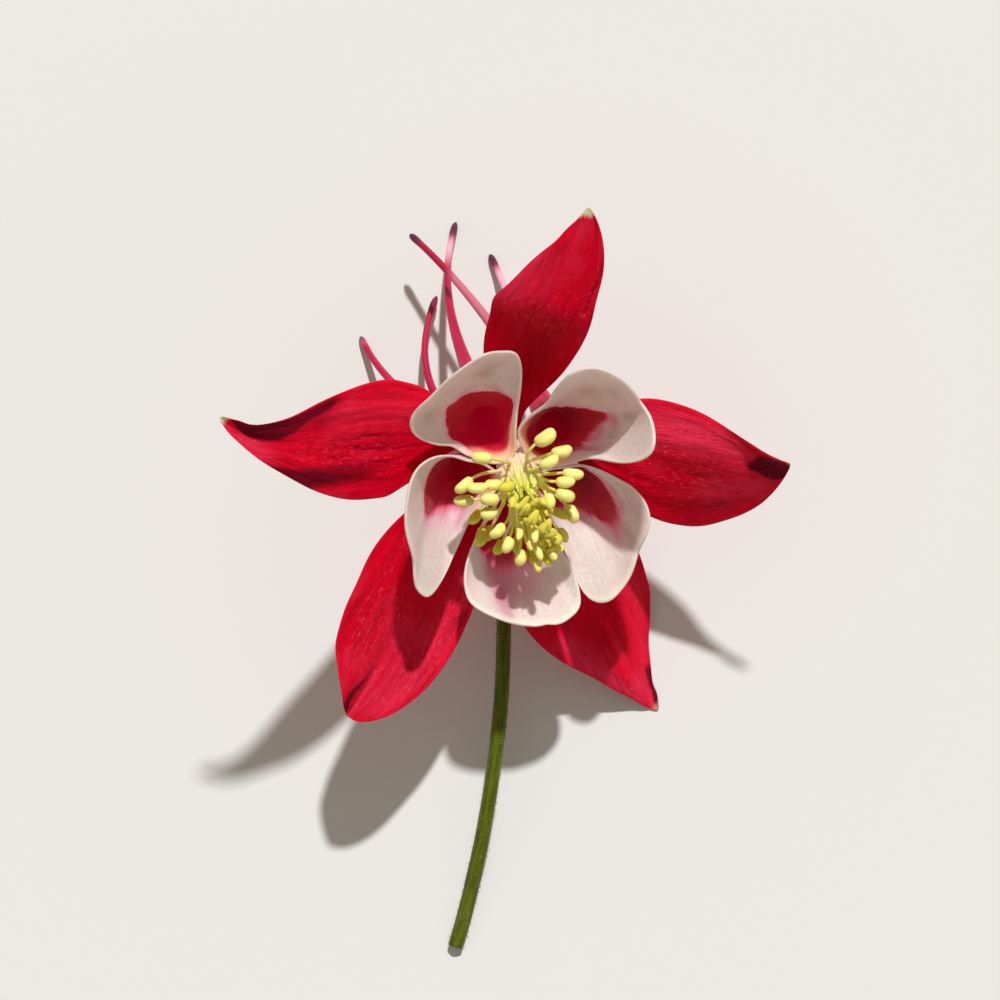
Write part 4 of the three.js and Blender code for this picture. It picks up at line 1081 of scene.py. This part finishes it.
def antherSkin(k):
    # A fat grain of radius width / 2 (1 - |2t - 1|^3)^0.5 with a furrow down each of two
    # sides. Open ones are narrow, twisted and deeply crumpled.
    build = stamenBuild
    middle, pointing, length, width, state = antherPlace(k)
    crumpled = 1.0 if state == 2 else 0.0
    length, width = length * (1.0 + 0.3 * crumpled), width * (0.99 + 0.22 * crumpled)
    sideways = unit(np.cross(pointing, [0.3, 0.2, 1.0]))
    upper = np.cross(sideways, pointing)
    run = 0.5 - 0.5 * np.cos(np.pi * np.linspace(0.02, 0.98, build["antherRows"]))
    bow = 0.12 * length * (1 - (2 * run - 1) ** 2) * (1 + 4.5 * crumpled * scatter(k, 0.618))
    centre = middle + pointing * ((run - 0.5) * length)[:, None] + upper * bow[:, None]
    radius = width / 2 * np.sqrt(1 - np.abs(2 * run - 1) ** 3) * (1 + 0.12 * crumpled * np.sin(run * 9 + k))
    turn = ringAngles(build["antherSides"])[None, :]
    twisted = turn + (0.25 * scatter(k, 0.7071) + 2.2 * crumpled * run[:, None]) + 0.5 * scatter(k, 0.4142)
    furrow = bell(np.sin(twisted), 0.22)
    wrinkle = softNoise(np.cos(turn) * 2.4 + 7, run[:, None] * 6 + np.sin(turn) * 2.4 + 5, 90 + k)
    lobes = 1 - (0.11 + 0.25 * crumpled) * furrow + 0.04 * np.cos(2 * twisted + np.pi)
    lobes = lobes + (0.03 + 0.12 * crumpled) * wrinkle
    points = tubeSkin(centre, pointing, sideways, radius, build["antherSides"], lobes)
    # painted shade: the side turned from the light is deeper yellow
    pale = np.array(build["litSide"])
    lit = np.cos(turn) * (sideways @ pale) + np.sin(turn) * (np.cross(pointing, sideways) @ pale)
    layers = {
        "grain": points + k * 5.3,
        "shadedSide": smoothStep(0.75, -0.35, lit + 0.2 * wrinkle),
        # painted shade: deeper yellow in the furrows
        "furrow": (0.4 + 0.4 * crumpled) * furrow * np.sin(np.pi * run)[:, None] ** 0.5,
        "dry": build["dryTint"][state],
    }
    return {"points": toFloorFrame(points), "layers": layers}


# thin sleeves round the axis: lobes and wave shape the top edge, crumple the wall
sleeves = {
    "column": {
        "radius": 2.35, "wall": 0.4, "bottom": -0.9, "top": 2.2, "lobes": 23, "wave": 0.3,
        "crumple": 0.05, "seed": 3,
    },
    "sheath": {
        "radius": 1.4, "wall": 0.2, "bottom": -0.9, "top": 3.4, "lobes": 10, "wave": 0.3,
        "crumple": 0.1, "seed": 5,
    },
}


def sleeveSkin(sleeve):
    # one closed skin: up the outside, over the waved top edge, down the inside and across the foot
    sides, bottom, wave, seed = 72, sleeve["bottom"], sleeve["wave"], sleeve["seed"]
    turn, rise = ringAngles(sides)[None, :], np.linspace(0, 1, 16)[:, None]
    lip = sleeve["top"] + wave * np.cos(sleeve["lobes"] * turn) + 0.35 * wave * np.cos(3 * turn + seed)

    def sheet(radius):
        uneven = softNoise(np.cos(turn) * 4 + 9, np.sin(turn) * 4 + rise * 3 + 9, seed)
        wavy = radius + sleeve["crumple"] * uneven
        return np.stack([wavy * np.cos(turn), wavy * np.sin(turn), bottom + (lip - bottom) * rise], -1)
    points = np.concatenate([sheet(sleeve["radius"]), sheet(sleeve["radius"] - sleeve["wall"])[::-1]])
    run = np.concatenate([rise, rise[::-1]])
    layers = tubeLayers(sides, run[:, 0] * (sleeve["top"] - bottom), 0.5 * smoothStep(0.3, 0.0, run), seed)
    return {"points": toFloorFrame(points), "layers": layers}


# line: distance from the axis and height of the curve's four points
carpelBuild = {
    "count": 5, "line": ((0.32, -0.9), (0.35, 4.5), (0.4, 7.5), (1.0, 10.4)), "podRadius": 0.46,
    "length": 14, "rows": 30, "sides": 14,
}


def carpelSkin(k):
    # a slim pod at the foot that narrows into a style with a small bent tip
    build = carpelBuild
    a = k / build["count"] * 2 * math.pi
    ring = np.array([math.cos(a), math.sin(a), 0.0])
    t = np.linspace(0, 1, build["rows"])
    centre, along = bezier([ring * out + [0, 0, z] for out, z in build["line"]], t)
    radius = (build["podRadius"] - 0.15 * t - 0.1 * smoothStep(0.45, 0.8, t)) * roundEnd(t, 0.97, 0.031)
    points = tubeSkin(centre, along, np.array([-ring[1], ring[0], 0.0]), radius, build["sides"])
    return {"points": toFloorFrame(points), "layers": tubeLayers(build["sides"], t * build["length"], 0.0, k)}


# axisHeights are on the bloom's axis. points are in the floor frame, from below the heart.
# narrowing: from and to which of these points, counted from 0, the width shrinks.
stalk = {
    "radius": 1.0, "receptacle": 2.45, "axisHeights": (-1.25, -3.0, -4.8, -6.4, -8.4),
    "points": [(-3.3, 3.3, 14.2), (-3.8, -0.6, 11.1), (-4.0, -9.7, 9.3), (-4.0, -19.5, 8.0),
               (-4.4, -29.5, 6.4), (-5.6, -39.5, 4.6), (-7.4, -49.0, 2.5), (-9.3, -57.0, 1.05),
               (-11.0, -63.5, 0.85)],
    "rows": 300, "sides": 28, "hairs": 2600, "hairLength": 0.45, "hairWidth": 0.03, "hairSeed": 77,
    "firstHairRow": 60, "lowestHair": 0.6, "narrowing": (1.9, 3.4),
}


def stalkPath(t):
    # uniform Catmull-Rom curve through the receptacle's axis and the stalk's own points
    heart = np.array(bloom["heart"])
    onAxis = [leanMatrix @ np.array([0, 0, z]) + heart for z in stalk["axisHeights"]]
    points = np.array(onAxis + [np.array(p) + [heart[0], heart[1], 0] for p in stalk["points"]])
    points = np.vstack([2 * points[0] - points[1], points, 2 * points[-1] - points[-2]])
    knot = t * (len(points) - 3)
    i = np.minimum(knot.astype(int), len(points) - 4)
    f = (knot - i)[:, None]
    p0, p1, p2, p3 = (points[i + k] for k in range(4))
    m1, m2 = (p2 - p0) / 2, (p3 - p1) / 2
    place = (2 * f**3 - 3 * f**2 + 1) * p1 + (f**3 - 2 * f**2 + f) * m1
    return place + (3 * f**2 - 2 * f**3) * p2 + (f**3 - f**2) * m2, knot


def stalkSkin():
    # The receptacle's width shrinks to the stalk's along its narrowing. Five low ribs run down
    # it, and noise makes it slightly uneven.
    place, knot = stalkPath(np.linspace(0, 1, stalk["rows"]))
    along = unit(np.gradient(place, axis=0))
    extra = (stalk["receptacle"] - stalk["radius"]) * (1 - smoothStep(*stalk["narrowing"], knot))
    radius = stalk["radius"] + extra
    turn, knot = ringAngles(stalk["sides"])[None, :], knot[:, None]
    uneven = 1 + 0.035 * np.cos(5 * turn + knot * 0.35)
    uneven = uneven + 0.03 * softNoise(np.cos(turn) * 2 + 9, knot * 3 + np.sin(turn), 7)
    points = tubeSkin(place, along, np.array([1.0, 0, 0]), radius, stalk["sides"], uneven)
    points[..., 2] = np.maximum(points[..., 2], 0.0)
    # a cream-pink tint on the receptacle
    shadeAndTint = 0.9 * smoothStep(0.9, 0.3, knot)
    return {"points": points, "layers": tubeLayers(stalk["sides"], lengthAlong(place), shadeAndTint, 1)}


def stalkDown(skin):
    # hairs scattered over the stalk below the receptacle, clear of the floor
    rng = np.random.default_rng(stalk["hairSeed"])
    grid = skin["points"]
    i = rng.integers(stalk["firstHairRow"], len(grid) - 2, stalk["hairs"])
    j = rng.integers(0, grid.shape[1], stalk["hairs"])
    upper = grid[i, j, 2] > stalk["lowestHair"]
    i, j = i[upper], j[upper]
    normals, along = unit(grid[i, j] - grid[i].mean(1)), unit(grid[i + 1, j] - grid[i, j])
    length, width, seed = stalk["hairLength"], stalk["hairWidth"], stalk["hairSeed"] + 1
    return downHairs(grid[i, j], normals, along, length, width, seed)


def pieceName(kind, place):
    # such as sepalLowRight for the node sepal_low_right
    return kind + place.title().replace("_", "")


velvet, tufts = sepalMaterial(), []
for number, (place, shape) in enumerate(sepals.items()):
    skin = sepalSkin(shape, 11 + 10 * number)
    makePiece(pieceName("sepal", place), [skin], velvet, ["sepal_" + place])
    tufts.append(sepalDown(skin, 200 + number))
makeDown("sepalDown", tufts, downMaterial("palePinkDown", (214, 44, 80)))
print("sepals made")

silk = petalMaterial()
for number, (place, shape) in enumerate(petals.items()):
    skin = petalSkin(shape, 300 + 10 * number)
    makePiece(pieceName("petal", place), [skin], silk, ["petal_" + place])
print("petals made")

filaments = [filamentSkin(k) for k in range(len(anthers) + stamenBuild["spare"])]
makePiece("filaments", filaments, strandMaterial("paleStrand", softSockets, 0.1), ["stamens"])
makePiece("anthers", [antherSkin(k) for k in range(len(anthers))], antherMaterial())
columnCream = strandMaterial("columnCream", softSockets, 0.05)
makePiece("column", [sleeveSkin(sleeves["column"])], columnCream)
sheathPaper = strandMaterial("paperySheath", softSockets)
makePiece("sheath", [sleeveSkin(sleeves["sheath"])], sheathPaper, ["staminodes"])
carpels = [carpelSkin(k) for k in range(carpelBuild["count"])]
makePiece("carpels", carpels, strandMaterial("podGreen", softSockets), ["pistils"])
print("stamens and pistils made")

skin = stalkSkin()
makePiece("stalk", [skin], strandMaterial("oliveStalk", stemSockets), ["stem"])
makeDown("stalkDown", [stalkDown(skin)], downMaterial("paleDown", (150, 158, 70)))
print("stalk made")

stage = {
    "floor": (225, 225, 223), "floorHalf": 3, "sunStrength": 3.15, "sunAngle": 2.5,
    "sunFrom": (0.201, 0.584, 0.786), "sky": (246, 238, 222), "skyStrength": 0.35,
}
edge = stage["floorHalf"]
floorMesh = bpy.data.meshes.new("floor")
floorCorners = [(-edge, -edge, 0), (edge, -edge, 0), (edge, edge, 0), (-edge, edge, 0)]
floorMesh.from_pydata(floorCorners, [], [(0, 1, 2, 3)])
floor = addObject("floor", floorMesh)
floorPaint, floorTree, floorShader = startMaterial("palePaper", {"Roughness": 0.8, "Specular IOR Level": 0.2})
floorShader.inputs["Base Color"].default_value = colour(*stage["floor"])
floorMesh.materials.append(floorPaint)

sunLight = bpy.data.lights.new("key", "SUN")
sunLight.energy, sunLight.angle = stage["sunStrength"], math.radians(stage["sunAngle"])
sun = addObject("key", sunLight)
sun.rotation_mode = "QUATERNION"
sun.rotation_quaternion = Vector(stage["sunFrom"]).to_track_quat("Z", "Y")

world = bpy.data.worlds.new("softSky")
world.use_nodes = True
background = world.node_tree.nodes["Background"]
background.inputs[0].default_value = colour(*stage["sky"])
background.inputs[1].default_value = stage["skyStrength"]
bpy.context.scene.world = world
bpy.context.scene.view_settings.view_transform = "Standard"

# place in metres, lens and sensor in mm, and how near and far it sees in metres
view = {"place": (0.08833, -0.06676, 0.61391), "lens": 162.0, "sensor": 36.0, "near": 0.02, "far": 20.0}
cameraData = bpy.data.cameras.new("camera")
cameraData.lens, cameraData.sensor_width = view["lens"], view["sensor"]
cameraData.clip_start, cameraData.clip_end = view["near"], view["far"]
camera = addObject("camera", cameraData)
camera.location = view["place"]
camera.rotation_euler = [math.radians(angle) for angle in viewAngles]
bpy.context.scene.camera = camera
print("stage, light and camera set")
